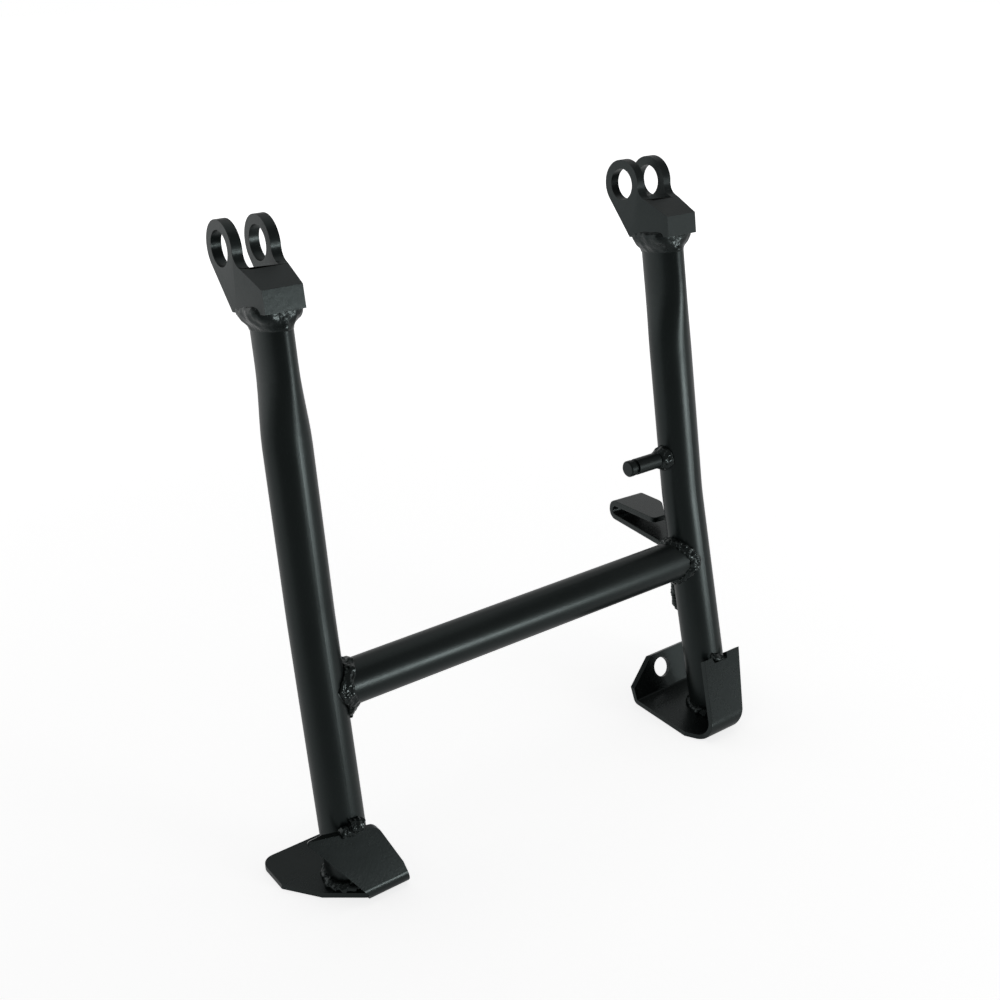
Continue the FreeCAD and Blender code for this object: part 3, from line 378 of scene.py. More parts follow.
for name in ("left_leg", "right_leg", "cross_tube", "spring_peg"):
    dress(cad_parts[name], TUBE_PAINT)
    print("painted:", name)


# %% [markdown]
# ## Rounded edges
#
# A sheared or forged edge is never razor sharp, and paint rounds it further: each edge in the photograph
# carries a thin line of light. The CAD solids of the clevises, shoes and lever have sharp edges, so each
# one is copied, its loose triangles are merged and its flat faces dissolved, and a Bevel modifier rounds
# what is left. The left shoe's front wall also has two corners that were cut round. They are found by
# place: edges straight through the plate, at its top, to the left and right of the weld's notch.

# %% Corners of a plate's outline
THROUGH_PLATE = (3.3 * MM, 4.5 * MM)
NOTCH_SIDE = 4 * MM
NOTCH_BELOW = 10 * MM
PLATE_CORNER = math.radians(50)
CORNER_SEGMENTS = 6


def round_corners(form, node, radius):
    """Round the upper corners of a shoe's front wall. The notch between them stays sharp for its weld."""
    low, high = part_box(node.replace("shoe", "wall_weld"))
    shortest, longest = THROUGH_PLATE
    corners = []
    for edge in form.edges:
        middle = (edge.verts[0].co + edge.verts[1].co) / 2
        across = shortest < edge.calc_length() < longest
        beside = middle.x < low.x - NOTCH_SIDE or middle.x > high.x + NOTCH_SIDE
        if len(edge.link_faces) == 2 and across and beside and middle.z > low.z - NOTCH_BELOW:
            if edge.calc_face_angle() > PLATE_CORNER:
                corners.append(edge)
    bmesh.ops.bevel(form, geom=corners, offset=radius, segments=CORNER_SEGMENTS, profile=0.5,
                    affect="EDGES")
    return len(corners)


# %% [markdown]
# Paint draws back from a sharp edge while it dries, so an edge looks a little paler than the faces
# beside it. The edge paint is paler still, as a painted highlight for the light that a rounded edge
# catches. The Bevel modifier can give the faces that it makes their own material slot, which is an
# easy way to let that thin coat and painted highlight follow every edge. A Weighted Normal modifier
# after it lets the large faces decide the shading, so that a flat face looks flat right up to its rounded
# edge.

# %% A clean copy of a CAD node
MERGE_WITHIN = 2e-6
FLAT_WITHIN = math.radians(0.6)


def clean_copy(node, corner):
    """A CAD node's mesh as merged points and whole faces, with round plate corners where asked."""
    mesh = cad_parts[node].data.copy()
    mesh.name = node + "_rounded"
    mesh.materials.clear()
    form = bmesh.new()
    form.from_mesh(mesh)
    bmesh.ops.remove_doubles(form, verts=form.verts, dist=MERGE_WITHIN)
    bmesh.ops.dissolve_limit(form, angle_limit=FLAT_WITHIN, verts=form.verts, edges=form.edges)
    if corner:
        print(f"{node}: {round_corners(form, node, corner)} rounded corners")
    form.to_mesh(mesh)
    form.free()
    shade_smooth(mesh)
    return mesh


# %% Rounded copies of the forged and folded pieces
SHARP_FROM = math.radians(28)
THIN_COAT_AND_HIGHLIGHT_SLOT = 1
FULL_WEIGHT = 100


def rounded_copy(node, width, paint, segments=3, corner=0.0):
    """A copy of a CAD node with its sharp edges rounded, which stands for the node."""
    mesh = clean_copy(node, corner)
    for coat in (paint, THIN_COAT_AND_HIGHLIGHT_PAINT):
        mesh.materials.append(coat)
    piece = add_object(node + "_rounded", mesh)
    bevel = piece.modifiers.new("rounded edges", "BEVEL")
    bevel.width = width
    bevel.segments = segments
    bevel.limit_method = "ANGLE"
    bevel.angle_limit = SHARP_FROM
    bevel.use_clamp_overlap = True
    bevel.harden_normals = True
    # The bevel's faces get the edge paint: thin coat and painted highlight
    bevel.material = THIN_COAT_AND_HIGHLIGHT_SLOT
    flat = piece.modifiers.new("flat faces", "WEIGHTED_NORMAL")
    flat.mode = "FACE_AREA"
    flat.weight = FULL_WEIGHT
    done = keep_modifiers(piece)
    stand_for(piece, node)
    print(f"{piece.name}: {len(done.polygons)} faces")


CORNERS = {"left": 3.0 * MM, "right": 0.0}
for side in SIDES:
    rounded_copy(side + "_clevis", 1.1 * MM, FORGED_PAINT, segments=4)
    rounded_copy(side + "_shoe", 0.55 * MM, SHEET_PAINT, corner=CORNERS[side])
rounded_copy("foot_lever", 0.6 * MM, SHEET_PAINT)


# %% [markdown]
# ## Weld beads
#
# A hand-laid bead is a row of small overlapping crescents, one for each time the torch paused. It
# follows a path, so Geometry Nodes make it: a profile swept along a curve, then pushed in and out by a
# ripple that runs along the path and bows across it, with a slow noise on the bead's width. One tree
# makes every bead on the stand, and each bead has its own path, radius and seed.

# %% Parts of the weld bead tree
RIPPLE_BOW = 0.55
RIPPLE_CREST = 0.6
WANDER_SCALE = 260.0


def marked_curve(tree, curve, measure, name, at):
    """Let a curve's points remember a measure: how far along it, or round it, they are."""
    mark = put(tree, "GeometryNodeCaptureAttribute", at, domain="POINT")
    mark.capture_items.new("FLOAT", name)
    join(tree, curve, mark.inputs["Geometry"])
    place = put(tree, "GeometryNodeSplineParameter", (at[0] - 250, at[1] - 200))
    join(tree, place.outputs[measure], mark.inputs[name])
    return mark.outputs["Geometry"], mark.outputs[name]


def ripple_height(tree, inputs, along, across):
    """Crescents: a sawtooth of the distance along the path, held back towards the bead's sides."""
    phase = maths(tree, "DIVIDE", along, inputs.outputs["Ripple Spacing"], (-550, -150))
    swing = maths(tree, "MULTIPLY", across, 2 * math.pi, (-550, -300))
    sides = maths(tree, "COSINE", swing, None, (-400, -300))
    bow = maths(tree, "MULTIPLY", sides, RIPPLE_BOW, (-250, -300))
    tooth = maths(tree, "FRACT", maths(tree, "ADD", phase, bow, (-250, -150)), None, (-100, -150))
    crest = maths(tree, "POWER", tooth, RIPPLE_CREST, (50, -150))
    return maths(tree, "MULTIPLY", crest, inputs.outputs["Ripple Depth"], (200, -150))


def wander_height(tree, inputs):
    """A slow noise on the bead's width, which the seed shifts."""
    wander = put(tree, "ShaderNodeTexNoise", (-150, -500), {"Scale": WANDER_SCALE, "Detail": 2.0},
                 noise_dimensions="4D")
    join(tree, put(tree, "GeometryNodeInputPosition", (-400, -500)).outputs[0], wander.inputs["Vector"])
    join(tree, inputs.outputs["Seed"], wander.inputs["W"])
    centred = maths(tree, "SUBTRACT", wander.outputs["Fac"], 0.5, (50, -500))
    return maths(tree, "MULTIPLY", centred, inputs.outputs["Unevenness"], (200, -500))


# %% The weld bead tree
PATH_STEP = 0.22 * MM
RING_POINTS = 28


def build_bead_tree():
    """Sweep a bead along a curve and give it its ripples."""
    tree = bpy.data.node_groups.new("weld_bead", "GeometryNodeTree")
    socket(tree, "Geometry", "NodeSocketGeometry")
    socket(tree, "Geometry", "NodeSocketGeometry", out=True)
    socket(tree, "Radius", "NodeSocketFloat", 0.003)
    socket(tree, "Ripple Spacing", "NodeSocketFloat", 0.0016)
    socket(tree, "Ripple Depth", "NodeSocketFloat", 0.0003)
    socket(tree, "Unevenness", "NodeSocketFloat", 0.0006)
    socket(tree, "Seed", "NodeSocketFloat", 1.0)
    socket(tree, "Paint", "NodeSocketMaterial")
    inputs = put(tree, "NodeGroupInput", (-1300, 0))
    outputs = put(tree, "NodeGroupOutput", (1300, 0))

    # A path with even points, a ring for its profile, and the sweep of both
    even = put(tree, "GeometryNodeResampleCurve", (-1100, 200), {"Length": PATH_STEP}, mode="LENGTH")
    join(tree, inputs.outputs["Geometry"], even.inputs["Curve"])
    path, along = marked_curve(tree, even.outputs["Curve"], "Length", "Along", (-850, 200))
    ring = put(tree, "GeometryNodeCurvePrimitiveCircle", (-1100, -250), {"Resolution": RING_POINTS})
    join(tree, inputs.outputs["Radius"], ring.inputs["Radius"])
    profile, across = marked_curve(tree, ring.outputs["Curve"], "Factor", "Across", (-850, -250))
    sweep = put(tree, "GeometryNodeCurveToMesh", (-550, 150), {"Fill Caps": True})
    join(tree, path, sweep.inputs["Curve"])
    join(tree, profile, sweep.inputs["Profile Curve"])

    # The ripple and the wander push the skin along its normal
    ripple = ripple_height(tree, inputs, along, across)
    total = maths(tree, "ADD", ripple, wander_height(tree, inputs), (400, -300))
    normal = put(tree, "GeometryNodeInputNormal", (400, -500)).outputs[0]
    push = put(tree, "ShaderNodeVectorMath", (600, -300), operation="SCALE")
    join(tree, normal, push.inputs[0])
    join(tree, total, push.inputs["Scale"])
    moved = put(tree, "GeometryNodeSetPosition", (750, 150))
    join(tree, sweep.outputs["Mesh"], moved.inputs["Geometry"])
    join(tree, push.outputs[0], moved.inputs["Offset"])

    real = put(tree, "GeometryNodeRealizeInstances", (930, 150))
    join(tree, moved.outputs["Geometry"], real.inputs["Geometry"])
    coat = put(tree, "GeometryNodeSetMaterial", (1100, 150))
    join(tree, real.outputs["Geometry"], coat.inputs["Geometry"])
    join(tree, inputs.outputs["Paint"], coat.inputs["Material"])
    join(tree, coat.outputs["Geometry"], outputs.inputs["Geometry"])
    return tree


BEAD_TREE = build_bead_tree()
print("bead tree:", len(BEAD_TREE.nodes), "nodes")


# %% Laying one bead
def curve_through(points, closed, name):
    """A curve object through these points."""
    data = bpy.data.curves.new(name, "CURVE")
    data.dimensions = "3D"
    line = data.splines.new("POLY")
    line.points.add(len(points) - 1)
    for spot, point in zip(line.points, points):
        spot.co = (*point, 1.0)
    line.use_cyclic_u = closed
    return add_object(name, data)


def lay_bead(name, points, closed, radius, seed, spacing=2.2, depth=0.7, uneven=1.4):
    """Sweep the bead along the path and keep the result as a plain mesh. Lengths in millimetres."""
    path = curve_through(points, closed, name + "_path")
    step = path.modifiers.new("bead", "NODES")
    step.node_group = BEAD_TREE
    values = {"Radius": radius * MM, "Ripple Spacing": spacing * MM, "Ripple Depth": depth * MM,
              "Unevenness": uneven * MM, "Seed": float(seed), "Paint": WELD_PAINT}
    for item in BEAD_TREE.interface.items_tree:
        if item.in_out == "INPUT" and item.name in values:
            step[item.identifier] = values[item.name]
    mesh = plain_mesh(path)
    bpy.data.objects.remove(path)
    return mesh


# %% [markdown]
# One bead alone looks like a cord that was laid on the metal. A real weld is several runs that melted
# into each other and into both pieces. So the beads of one weld are joined, a voxel Remesh gives them a
# single skin, a Smooth lets it flow, and a slow noise with a fine one over it pushes that skin in and
# out. Without the noise the weld would look poured, with too much of it like a cinder.

# %% Melting beads into one weld
VOXEL = 0.36 * MM
JOIN_WITHIN = 1e-6
FLOW_FACTOR = 0.5
NOISE_SHIFT = Vector((7.3, 3.1, 5.7))
FINE_NOISE = 3.4


def roughen(mesh, swell, size, grain, seed):
    """Push each point along its normal by a slow noise and a fine one. Lengths in millimetres."""
    shift = NOISE_SHIFT * seed
    ways = [point.normal.copy() for point in mesh.vertices]
    for point, way in zip(mesh.vertices, ways):
        spot = point.co / MM
        slow = swell * noise.noise(spot / size + shift)
        fine = grain * noise.noise(spot * FINE_NOISE / size - shift)
        point.co += way * (slow + fine) * MM


def weld(name, node, runs, seed, melt=5, swell=0.8, size=3.4, grain=0.10, paint=WELD_PAINT):
    """Melt the runs of a weld into one piece that stands for its CAD node."""
    form = bmesh.new()
    for run in runs:
        form.from_mesh(run)
    bmesh.ops.remove_doubles(form, verts=form.verts, dist=JOIN_WITHIN)
    bmesh.ops.recalc_face_normals(form, faces=form.faces)
    piece = add_object(name, mesh_from(form, name))
    skin = piece.modifiers.new("one skin", "REMESH")
    skin.mode = "VOXEL"
    skin.voxel_size = VOXEL
    skin.use_smooth_shade = True
    flow = piece.modifiers.new("flow", "SMOOTH")
    flow.factor = FLOW_FACTOR
    flow.iterations = melt
    melted = keep_modifiers(piece)
    roughen(melted, swell, size, grain, seed)
    shade_smooth(melted)
    dress(piece, paint)
    stand_for(piece, node)
    print(f"{name}: {len(melted.polygons)} faces from {len(runs)} runs")


# %% [markdown]
# Each path is worked out from the two pieces that meet. Where a bar runs into a leg the path is the
# saddle in which the two cylinders cut each other, so it is found point by point: from a point on the
# bar's skin, straight along the bar to the leg's skin.

# %% Paths on a leg's skin
RING_STEPS = 120


def reach_leg(sign, point, direction, proud):
    """Where a line from this point meets the skin of a leg, grown by a little."""
    centre, down = leg_axis(sign, point.z)
    start = point - centre
    flat_start = start - down * start.dot(down)
    flat_way = direction - down * direction.dot(down)
    radius = LEG_RADIUS + proud
    a = flat_way.length_squared
    b = flat_start.dot(flat_way)
    c = flat_start.length_squared - radius * radius
    root = max(b * b - a * c, 0.0)
    return point + direction * ((-b - math.sqrt(root)) / a)


def saddle(sign, centre, radius, proud):
    """The closed line in which a bar that runs outwards from this centre meets a leg."""
    outwards = Vector((sign, 0, 0))
    points = []
    for step in range(RING_STEPS):
        turn = 2 * math.pi * step / RING_STEPS
        ring = Vector((0.0, math.cos(turn), math.sin(turn))) * radius
        points.append(reach_leg(sign, centre + ring, outwards, proud))
    return points


def bar_centre(sign, height, inwards):
    """A point on a bar's axis, this far inwards from the axis of the leg that it runs into."""
    axis, _ = leg_axis(sign, height)
    return Vector((axis.x - sign * inwards, axis.y, height))


def back_from_leg(sign, point, distance):
    """A point moved inwards by this many millimetres."""
    return point - Vector((sign * distance * MM, 0, 0))


# %% [markdown]
# The cross tube was welded in two or three runs each side, none quite on its line, so a slow noise lets
# each run stray. On the left leg short runs fill the corner under the tube, where the weld metal runs
# down the leg in a hollow toe. The right weld is rougher and shows more of its drops.

# %% Welds of the cross tube
CROSS_INWARDS = 60 * MM
# Runs round the tube: back from the leg, out from the tube's skin, and radius
CROSS_RUNS = {"left": ((1.6, -0.2, 1.5), (3.6, -0.2, 1.9), (5.8, -0.8, 1.8)),
              "right": ((1.6, -0.1, 1.8), (3.5, 0.0, 2.1), (5.2, -0.6, 1.6))}
CROSS_PROUD = 0.3 * MM
CROSS_STRAY, STRAY_SCALE = 1.4, 120
CROSS_DEPTH = {"left": 0.4, "right": 0.9}
CROSS_FLOW = {"left": {"melt": 12, "swell": 1.2, "size": 4.6},
              "right": {"melt": 9, "swell": 1.6, "size": 3.8}}
# Short runs under the tube: the same three, and how many steps they reach to each side of the lowest
UNDER_RUNS = {"left": ((0.0, 4.4, 1.6, 11), (0.8, 2.6, 1.9, 16), (2.4, 1.2, 1.9, 18), (5.0, 0.0, 1.5, 16)),
              "right": ()}
LOWEST_STEP = RING_STEPS * 3 // 4
PROUD = 0.2 * MM
CROSS_SEED, UNDER_SEED = 3, 81


def stray_line(sign, centre, index, back, out):
    """One run's line round the cross tube."""
    line = saddle(sign, centre, CROSS_RADIUS + out * MM, CROSS_PROUD)
    for step, point in enumerate(line):
        stray = noise.noise(point * STRAY_SCALE + Vector((index, sign, 0)))
        line[step] = back_from_leg(sign, point, back + CROSS_STRAY * stray)
    return line


for side, sign in SIDES.items():
    centre = bar_centre(sign, CROSS_HEIGHT, CROSS_INWARDS)
    runs = []
    for index, (back, out, radius) in enumerate(CROSS_RUNS[side]):
        line = stray_line(sign, centre, index, back, out)
        runs.append(lay_bead(side + "_cross_run", line, True, radius, CROSS_SEED + sign + 10 * index,
                             spacing=3.6, depth=CROSS_DEPTH[side], uneven=1.0))
    for index, (back, out, radius, half) in enumerate(UNDER_RUNS[side]):
        line = saddle(sign, centre, CROSS_RADIUS + out * MM, PROUD)[LOWEST_STEP - half:LOWEST_STEP + 1 + half]
        line = [back_from_leg(sign, point, back) for point in line]
        runs.append(lay_bead(side + "_under_run", line, False, radius, UNDER_SEED + index,
                             spacing=3.6, depth=0.3, uneven=0.8))
    weld(side + "_cross_bead", side + "_cross_weld", runs, CROSS_SEED + sign, grain=0.16, **CROSS_FLOW[side])

# %% [markdown]
# The peg's weld flares from the peg's shaft to the leg, so its four rings get wider towards the leg.

# %% Weld of the peg
PEG_INWARDS = 40 * MM
PEG_RUNS = ((0.6, 1.0, 1.6), (2.4, 0.7, 1.7), (4.4, 0.2, 1.4), (6.0, -0.2, 1.0))
PEG_SEED = 21
centre = bar_centre(SIDES["right"], PEG_HEIGHT, PEG_INWARDS)
runs = []
for index, (back, out, radius) in enumerate(PEG_RUNS):
    line = [back_from_leg(SIDES["right"], point, back)
            for point in saddle(SIDES["right"], centre, PEG_RADIUS + out * MM, PROUD)]
    runs.append(lay_bead("peg_run", line, True, radius, PEG_SEED + index, spacing=3.0, depth=0.4, uneven=0.8))
weld("peg_bead", "peg_weld", runs, PEG_SEED, melt=10, swell=0.9, size=3.6)


# %% [markdown]
# Each leg stands on its sole inside a ring of weld. The ring is thin where the welder could hardly reach,
# and thick in front, where a second run lies over the first.

# %% Welds where the legs stand in the shoes
def foot_ring(sign, reach, rise, start=0.0, end=360.0, count=RING_STEPS):
    """Part of a ring round a leg's foot, from one bearing to another."""
    foot = leg_corner(sign, ON_SOLE)
    _, down = leg_axis(sign, foot.z)
    points = []
    for step in range(count):
        turn = math.radians(start + (end - start) * step / count)
        points.append(Vector((foot.x + reach * math.cos(turn),
                              foot.y + reach / -down.z * math.sin(turn), SOLE_TOP + rise)))
    return points


THICK_START, THICK_END, THICK_STEPS = 190, 262, 40
THIN_SEED, THICK_SEED = 11, 17
for side, sign in SIDES.items():
    thin = foot_ring(sign, reach=LEG_RADIUS + 0.4 * MM, rise=0.9 * MM)
    thick = foot_ring(sign, LEG_RADIUS + 1.4 * MM, 1.2 * MM, THICK_START, THICK_END, THICK_STEPS)
    runs = [lay_bead(side + "_sole_run", thin, True, radius=1.8, seed=THIN_SEED + sign,
                     spacing=4.6, depth=0.9),
            lay_bead(side + "_sole_second", thick, False, radius=2.6, seed=THICK_SEED + sign,
                     spacing=5.0, depth=1.3)]
    weld(side + "_sole_bead", side + "_sole_weld", runs, THIN_SEED + sign, melt=7, swell=0.6, size=5.0)

# %% [markdown]
# The strip of the foot lever lies on the back of the right leg. A straight bead runs down each of its
# edges, and a short arc closes its upper end. The boxes of the CAD welds say where they lie.

# %% Welds of the foot lever
LINE_STEPS = 24
STRIP_INSET_Y, STRIP_INSET_Z = 3.0 * MM, 1.5 * MM
STRIP_SEED = 31
for name, x_share in (("inner", 0.45), ("outer", 0.55)):
    low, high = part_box(f"lever_{name}_weld")
    x = low.x + (high.x - low.x) * x_share
    top = Vector((x, high.y - STRIP_INSET_Y, high.z - STRIP_INSET_Z))
    bottom = Vector((x, low.y + STRIP_INSET_Y, low.z + STRIP_INSET_Z))
    line = [top.lerp(bottom, step / LINE_STEPS) for step in range(LINE_STEPS + 1)]
    run = lay_bead(f"lever_{name}_run", line, False, radius=3.0, seed=STRIP_SEED, uneven=1.8)
    weld(f"lever_{name}_bead", f"lever_{name}_weld", [run], STRIP_SEED)

ARC_START, ARC_SWEEP, ARC_STEPS = 62, 62, 30
ARC_REACH, ARC_RISE = LEG_RADIUS + 1.0 * MM, 1.0 * MM
ARC_SEED = 41
low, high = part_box("lever_top_weld")
centre, _ = leg_axis(SIDES["right"], high.z)
arc = []
for step in range(ARC_STEPS + 1):
    turn = math.radians(ARC_START + ARC_SWEEP * step / ARC_STEPS)
    arc.append(Vector((centre.x + ARC_REACH * math.cos(turn),
                       centre.y + ARC_REACH * math.sin(turn), low.z + ARC_RISE)))
run = lay_bead("lever_top_run", arc, False, radius=2.4, seed=ARC_SEED)
weld("lever_top_bead", "lever_top_weld", [run], ARC_SEED)

# %% [markdown]
# Each front wall has a notch at its top, and a lump of weld in it ties the wall to the leg. Two short
# runs that lean a little make the lump. Its place comes from the box of the CAD weld.

# %% Welds in the notches of the front walls
# From and to along X, rise, radius and ripple spacing, in millimetres from the middle of the weld
WALL_RUNS = {"left": ((-8.6, -1.6, 0.4, 2.8, 2.2), (-2.6, 5.2, 2.2, 3.5, 3.0)),
             "right": ((-4.4, 0.6, 0.0, 2.4, 2.0), (-0.6, 4.0, -2.0, 2.4, 2.0))}
WALL_LEAN = 1.4
WALL_BACK = 0.5 * MM
WALL_SEED = 51
for side, sign in SIDES.items():
    low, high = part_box(side + "_wall_weld")
    middle = (low + high) / 2
    runs = []
    for index, (start, end, rise, radius, spacing) in enumerate(WALL_RUNS[side]):
        line = []
        for step in range(LINE_STEPS + 1):
            share = step / LINE_STEPS
            line.append(Vector((middle.x + (start + (end - start) * share) * MM,
                                middle.y + WALL_BACK,
                                middle.z + (rise - WALL_LEAN * share) * MM)))
        runs.append(lay_bead(f"{side}_wall_run", line, False, radius, WALL_SEED + sign + index,
                             spacing=spacing, depth=1.0, uneven=2.0))
    weld(side + "_wall_bead", side + "_wall_weld", runs, WALL_SEED + sign, size=2.8)

# %% [markdown]
# The weld under a clevis is a collar: as wide as the clevis at its seat, bulging a little over the
# seat's edges, then drawn in quickly to the leg. Its rings turn from the seat's rounded rectangle into
# the leg's squeezed oval, so it is built ring by ring and then roughened like the others, only less.

# %% Shape of a collar
SEAT_HALF = (14.4, 17.0)
SEAT_CORNER = 9.0
OVAL_HALF = (10.25, 16.8)
# Down the leg from the seat, share of the way from seat to oval, and how far out from that outline
COLLAR_PROFILE = ((-4.4, 0.0, -2.6), (-3.4, 0.0, -0.4), (-2.2, 0.0, 0.5), (-0.6, 0.0, 0.9), (1.2, 0.04, 0.8),
                  (3.0, 0.14, 0.6), (4.8, 0.34, 0.5), (6.4, 0.60, 0.5), (7.8, 0.84, 0.6), (9.2, 1.0, 0.5),
                  (10.4, 1.0, 0.0), (11.2, 1.0, -1.4))
COLLAR_COLUMNS = 220
COLLAR_ROWS = 64
NEAR_ZERO = 1e-6


def seat_reach(turn):
    """From the middle of the seat to its rounded outline, at this bearing."""
    across, ahead = abs(math.cos(turn)), abs(math.sin(turn))
    half_x, half_y = SEAT_HALF
    reach = min(half_x / max(across, NEAR_ZERO), half_y / max(ahead, NEAR_ZERO))
    corner = Vector((half_x - SEAT_CORNER, half_y - SEAT_CORNER))
    way = Vector((across, ahead))
    along = way.dot(corner)
    inside = along * along - corner.length_squared + SEAT_CORNER * SEAT_CORNER
    spot = way * reach
    if spot.x > corner.x and spot.y > corner.y and inside > 0:
        reach = min(reach, along + math.sqrt(inside))
    return reach


def profile_at(row):
    """The collar's profile at one of its rings, between the two nearest points of the table."""
    at = row / (COLLAR_ROWS - 1) * (len(COLLAR_PROFILE) - 1)
    first = min(int(at), len(COLLAR_PROFILE) - 2)
    share = at - first
    return [a + (b - a) * share for a, b in zip(COLLAR_PROFILE[first], COLLAR_PROFILE[first + 1])]


# %% Collars under the clevises
def collar(side, sign):
    """The skin of a collar: rings down the leg, closed at both ends."""
    top = leg_corner(sign, AT_CLEVIS)
    _, down = leg_axis(sign, top.z)
    right = Vector((1.0, 0.0, 0.0))
    right = (right - down * right.dot(down)).normalized()
    front = down.cross(right)
    form = bmesh.new()
    rings = []
    for row in range(COLLAR_ROWS):
        drop, drawn, out = profile_at(row)
        ring = []
        for column in range(COLLAR_COLUMNS):
            turn = 2 * math.pi * column / COLLAR_COLUMNS
            oval = 1 / math.hypot(math.cos(turn) / OVAL_HALF[0], math.sin(turn) / OVAL_HALF[1])
            wide = seat_reach(turn)
            reach = (wide + (oval - wide) * drawn + out) * MM
            ring.append(form.verts.new(top + down * drop * MM + right * reach * math.cos(turn)
                                       + front * reach * math.sin(turn)))
        rings.append(ring)
    for upper, lower in zip(rings, rings[1:]):
        for column in range(COLLAR_COLUMNS):
            beside = (column + 1) % COLLAR_COLUMNS
            form.faces.new((upper[column], upper[beside], lower[beside], lower[column]))
    form.faces.new(rings[0])
    form.faces.new(list(reversed(rings[-1])))
    bmesh.ops.recalc_face_normals(form, faces=form.faces)
    return mesh_from(form, side + "_collar_form")


COLLAR_SEED = 61
for side, sign in SIDES.items():
    weld(side + "_clevis_bead", side + "_clevis_weld", [collar(side, sign)], COLLAR_SEED + sign,
         melt=3, swell=0.7, size=5.0, grain=0.09, paint=COLLAR_PAINT)

# %% [markdown]
# ## Studio
#
# The stand was photographed on a white sweep, and black paint shows little but reflections, so what
# surrounds it matters more than the light that falls on it. The floor and the world are white to the
# camera's rays. To gloss the floor glows dimly in front of the stand, which keeps the paint black. Behind
# the stand it glows brighter, as a painted reflection of the lit sweep there. The floor is a little under
# white near the stand, so that the light on it, and the stand's shadow, still show.

# %% Finish of the floor
FLOOR_TO_CAMERA = 0.77
WHITE_FROM, WHITE_AT = 0.6, 1.6
FRONT_TO_GLOSS, SWEEP_TO_GLOSS = 0.05, 0.35
SWEEP_FROM, SWEEP_AT = -0.35, 0.05


def make_pale_floor():
    """A matt floor that is white to the camera, and that glows to reflections as a painted reflection of the
    sweep.
    """
    pale = bpy.data.materials.new("pale_floor")
    pale.use_nodes = True
    tree = pale.node_tree
    shader = tree.nodes["Principled BSDF"]
    shader.inputs["Base Color"].default_value = (0.8, 0.8, 0.8, 1.0)
    shader.inputs["Roughness"].default_value = 0.9
    shader.inputs["Emission Color"].default_value = (1.0, 1.0, 1.0, 1.0)
    sight = put(tree, "ShaderNodeLightPath", (-900, -200))
    place = put(tree, "ShaderNodeTexCoord", (-1100, -500)).outputs["Object"]

    # Far from the stand the floor is plain white. Near it, the light that falls on it shows.
    away = put(tree, "ShaderNodeVectorMath", (-900, -500), operation="LENGTH")
    join(tree, place, away.inputs[0])
    far = put(tree, "ShaderNodeMapRange", (-700, -500),
              {"From Min": WHITE_FROM, "From Max": WHITE_AT, "To Min": FLOOR_TO_CAMERA},
              interpolation_type="SMOOTHSTEP")
    join(tree, away.outputs["Value"], far.inputs["Value"])
    seen = maths(tree, "MULTIPLY", sight.outputs["Is Camera Ray"], far.outputs["Result"], (-450, -200))

    # To gloss rays the floor glows as a painted reflection of the lit sweep behind the stand: bright there
    # and dark in front.
    depth = put(tree, "ShaderNodeSeparateXYZ", (-900, -750))
    join(tree, place, depth.inputs[0])
    sweep_glow = put(tree, "ShaderNodeMapRange", (-700, -750),
              {"From Min": SWEEP_FROM, "From Max": SWEEP_AT,
               "To Min": FRONT_TO_GLOSS, "To Max": SWEEP_TO_GLOSS}, interpolation_type="SMOOTHSTEP")
    join(tree, depth.outputs["Y"], sweep_glow.inputs["Value"])
    gloss = maths(tree, "MULTIPLY", sight.outputs["Is Glossy Ray"], sweep_glow.outputs["Result"], (-450, -350))
    join(tree, maths(tree, "ADD", seen, gloss, (-200, -200)), shader.inputs["Emission Strength"])
    return pale


# %% Floor
FLOOR_HALF = 6.0
ground = CAD_BOX[0][2]
mesh = bpy.data.meshes.new("studio_floor")
mesh.from_pydata([(x * FLOOR_HALF, y * FLOOR_HALF, ground) for x, y in ((-1, -1), (1, -1), (1, 1), (-1, 1))],
                 [], [(0, 1, 2, 3)])
floor = add_object("studio_floor", mesh)
floor.data.materials.append(make_pale_floor())
print("floor at", round(ground, 4))

# %% World
WORLD_LIGHT = 0.12
world = bpy.data.worlds.new("studio_world")
bpy.context.scene.world = world
world.use_nodes = True
tree = world.node_tree
back = tree.nodes["Background"]
back.inputs["Color"].default_value = (1.0, 1.0, 1.0, 1.0)
sight = put(tree, "ShaderNodeLightPath", (-600, 0))
white = maths(tree, "MULTIPLY", sight.outputs["Is Camera Ray"], 1.0 - WORLD_LIGHT, (-400, 0))
join(tree, maths(tree, "ADD", white, WORLD_LIGHT, (-200, 0)), back.inputs["Strength"])
print("world light:", WORLD_LIGHT)


# %% [markdown]
# Six soft lamps stand round the stand. A low softbox in front draws the bright streak down each tube,
# and a small card beside it lights the clevises' noses. Two wide panels behind are the sweep, whose edge
# light parts the black tubes from the white. A card at the right fills the sides that look there, and a
# large dim panel high at the back lies on everything that looks up. Each place is given as seen from the
# stand, because that is how a photographer moves a lamp until its reflection lies right.

# %% Lamps
AIM = Vector((0.0, -0.06, -0.18))


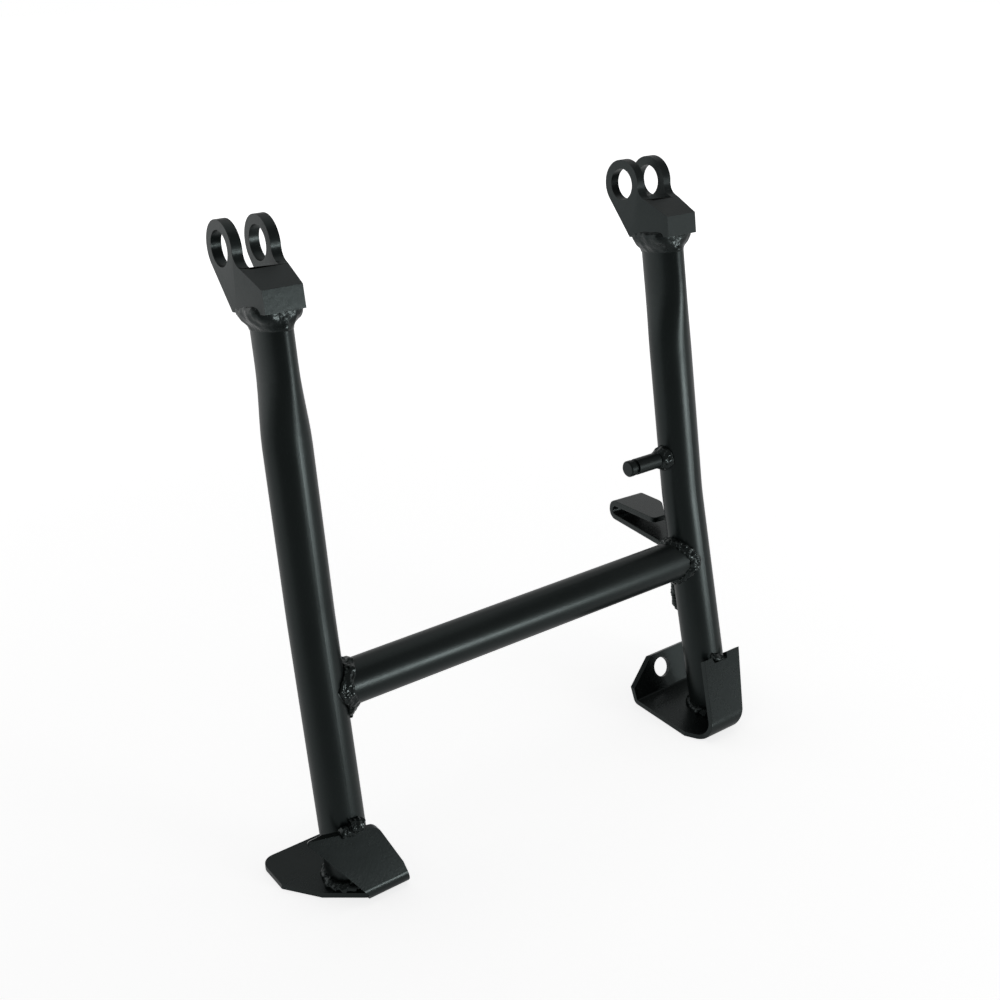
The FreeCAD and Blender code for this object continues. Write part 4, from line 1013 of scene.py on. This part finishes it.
def softbox(name, place, width, height, power):
    """A rectangular lamp that looks at the stand and that the camera doesn't see."""
    data = bpy.data.lights.new(name, "AREA")
    data.shape = "RECTANGLE"
    data.size, data.size_y = width, height
    data.energy = power
    lamp = add_object(name, data)
    lamp.location = place
    lamp.rotation_euler = (AIM - place).to_track_quat("-Z", "Y").to_euler()
    lamp.visible_camera = False
    print(f"{name}: {power} W")


def from_stand(azimuth, distance, height):
    """A place round the stand: degrees to its right from straight ahead, and metres."""
    turn = math.radians(azimuth)
    return AIM + Vector((math.sin(turn) * distance, -math.cos(turn) * distance, height))


softbox("low_softbox", from_stand(24, distance=1.35, height=-0.06), width=0.44, height=0.26, power=4.4)
softbox("near_right_card", from_stand(50, distance=1.3, height=0.14), width=0.36, height=0.40, power=0.5)
softbox("sweep_left", from_stand(215, distance=1.9, height=0.35), width=2.4, height=1.2, power=4.8)
softbox("sweep_right", from_stand(140, distance=1.9, height=0.40), width=2.4, height=1.2, power=2.7)
softbox("right_card", from_stand(82, distance=1.3, height=0.15), width=0.8, height=0.8, power=0.9)
softbox("back_ceiling", AIM + Vector((0.35, 0.7, 1.8)), width=2.2, height=2.2, power=4.4)

# %% [markdown]
# ## Camera
#
# The camera's place and lens were fitted to the edges of the tubes and the pivot bores in the
# photograph, so the picture can be laid over it.

# %% The photograph's view
CAMERA_PLACE = (-0.45334, -0.64890, 0.17351)
# In radians: turned to the right from the Y axis, and tilted down
CAMERA_YAW, CAMERA_PITCH = 0.640, 0.432
data = bpy.data.cameras.new("photo_camera")
data.sensor_width = 36.0
data.lens = 47.53
data.clip_end = 50.0
camera = add_object("photo_camera", data)
camera.location = CAMERA_PLACE
level = math.cos(CAMERA_PITCH)
looking = Vector((math.sin(CAMERA_YAW) * level, math.cos(CAMERA_YAW) * level, -math.sin(CAMERA_PITCH)))
camera.rotation_euler = looking.to_track_quat("-Z", "Y").to_euler()
bpy.context.scene.camera = camera
bpy.context.scene.view_settings.view_transform = "Standard"
print("lens:", data.lens)

# %% The end of the lesson
bpy.context.view_layer.update()
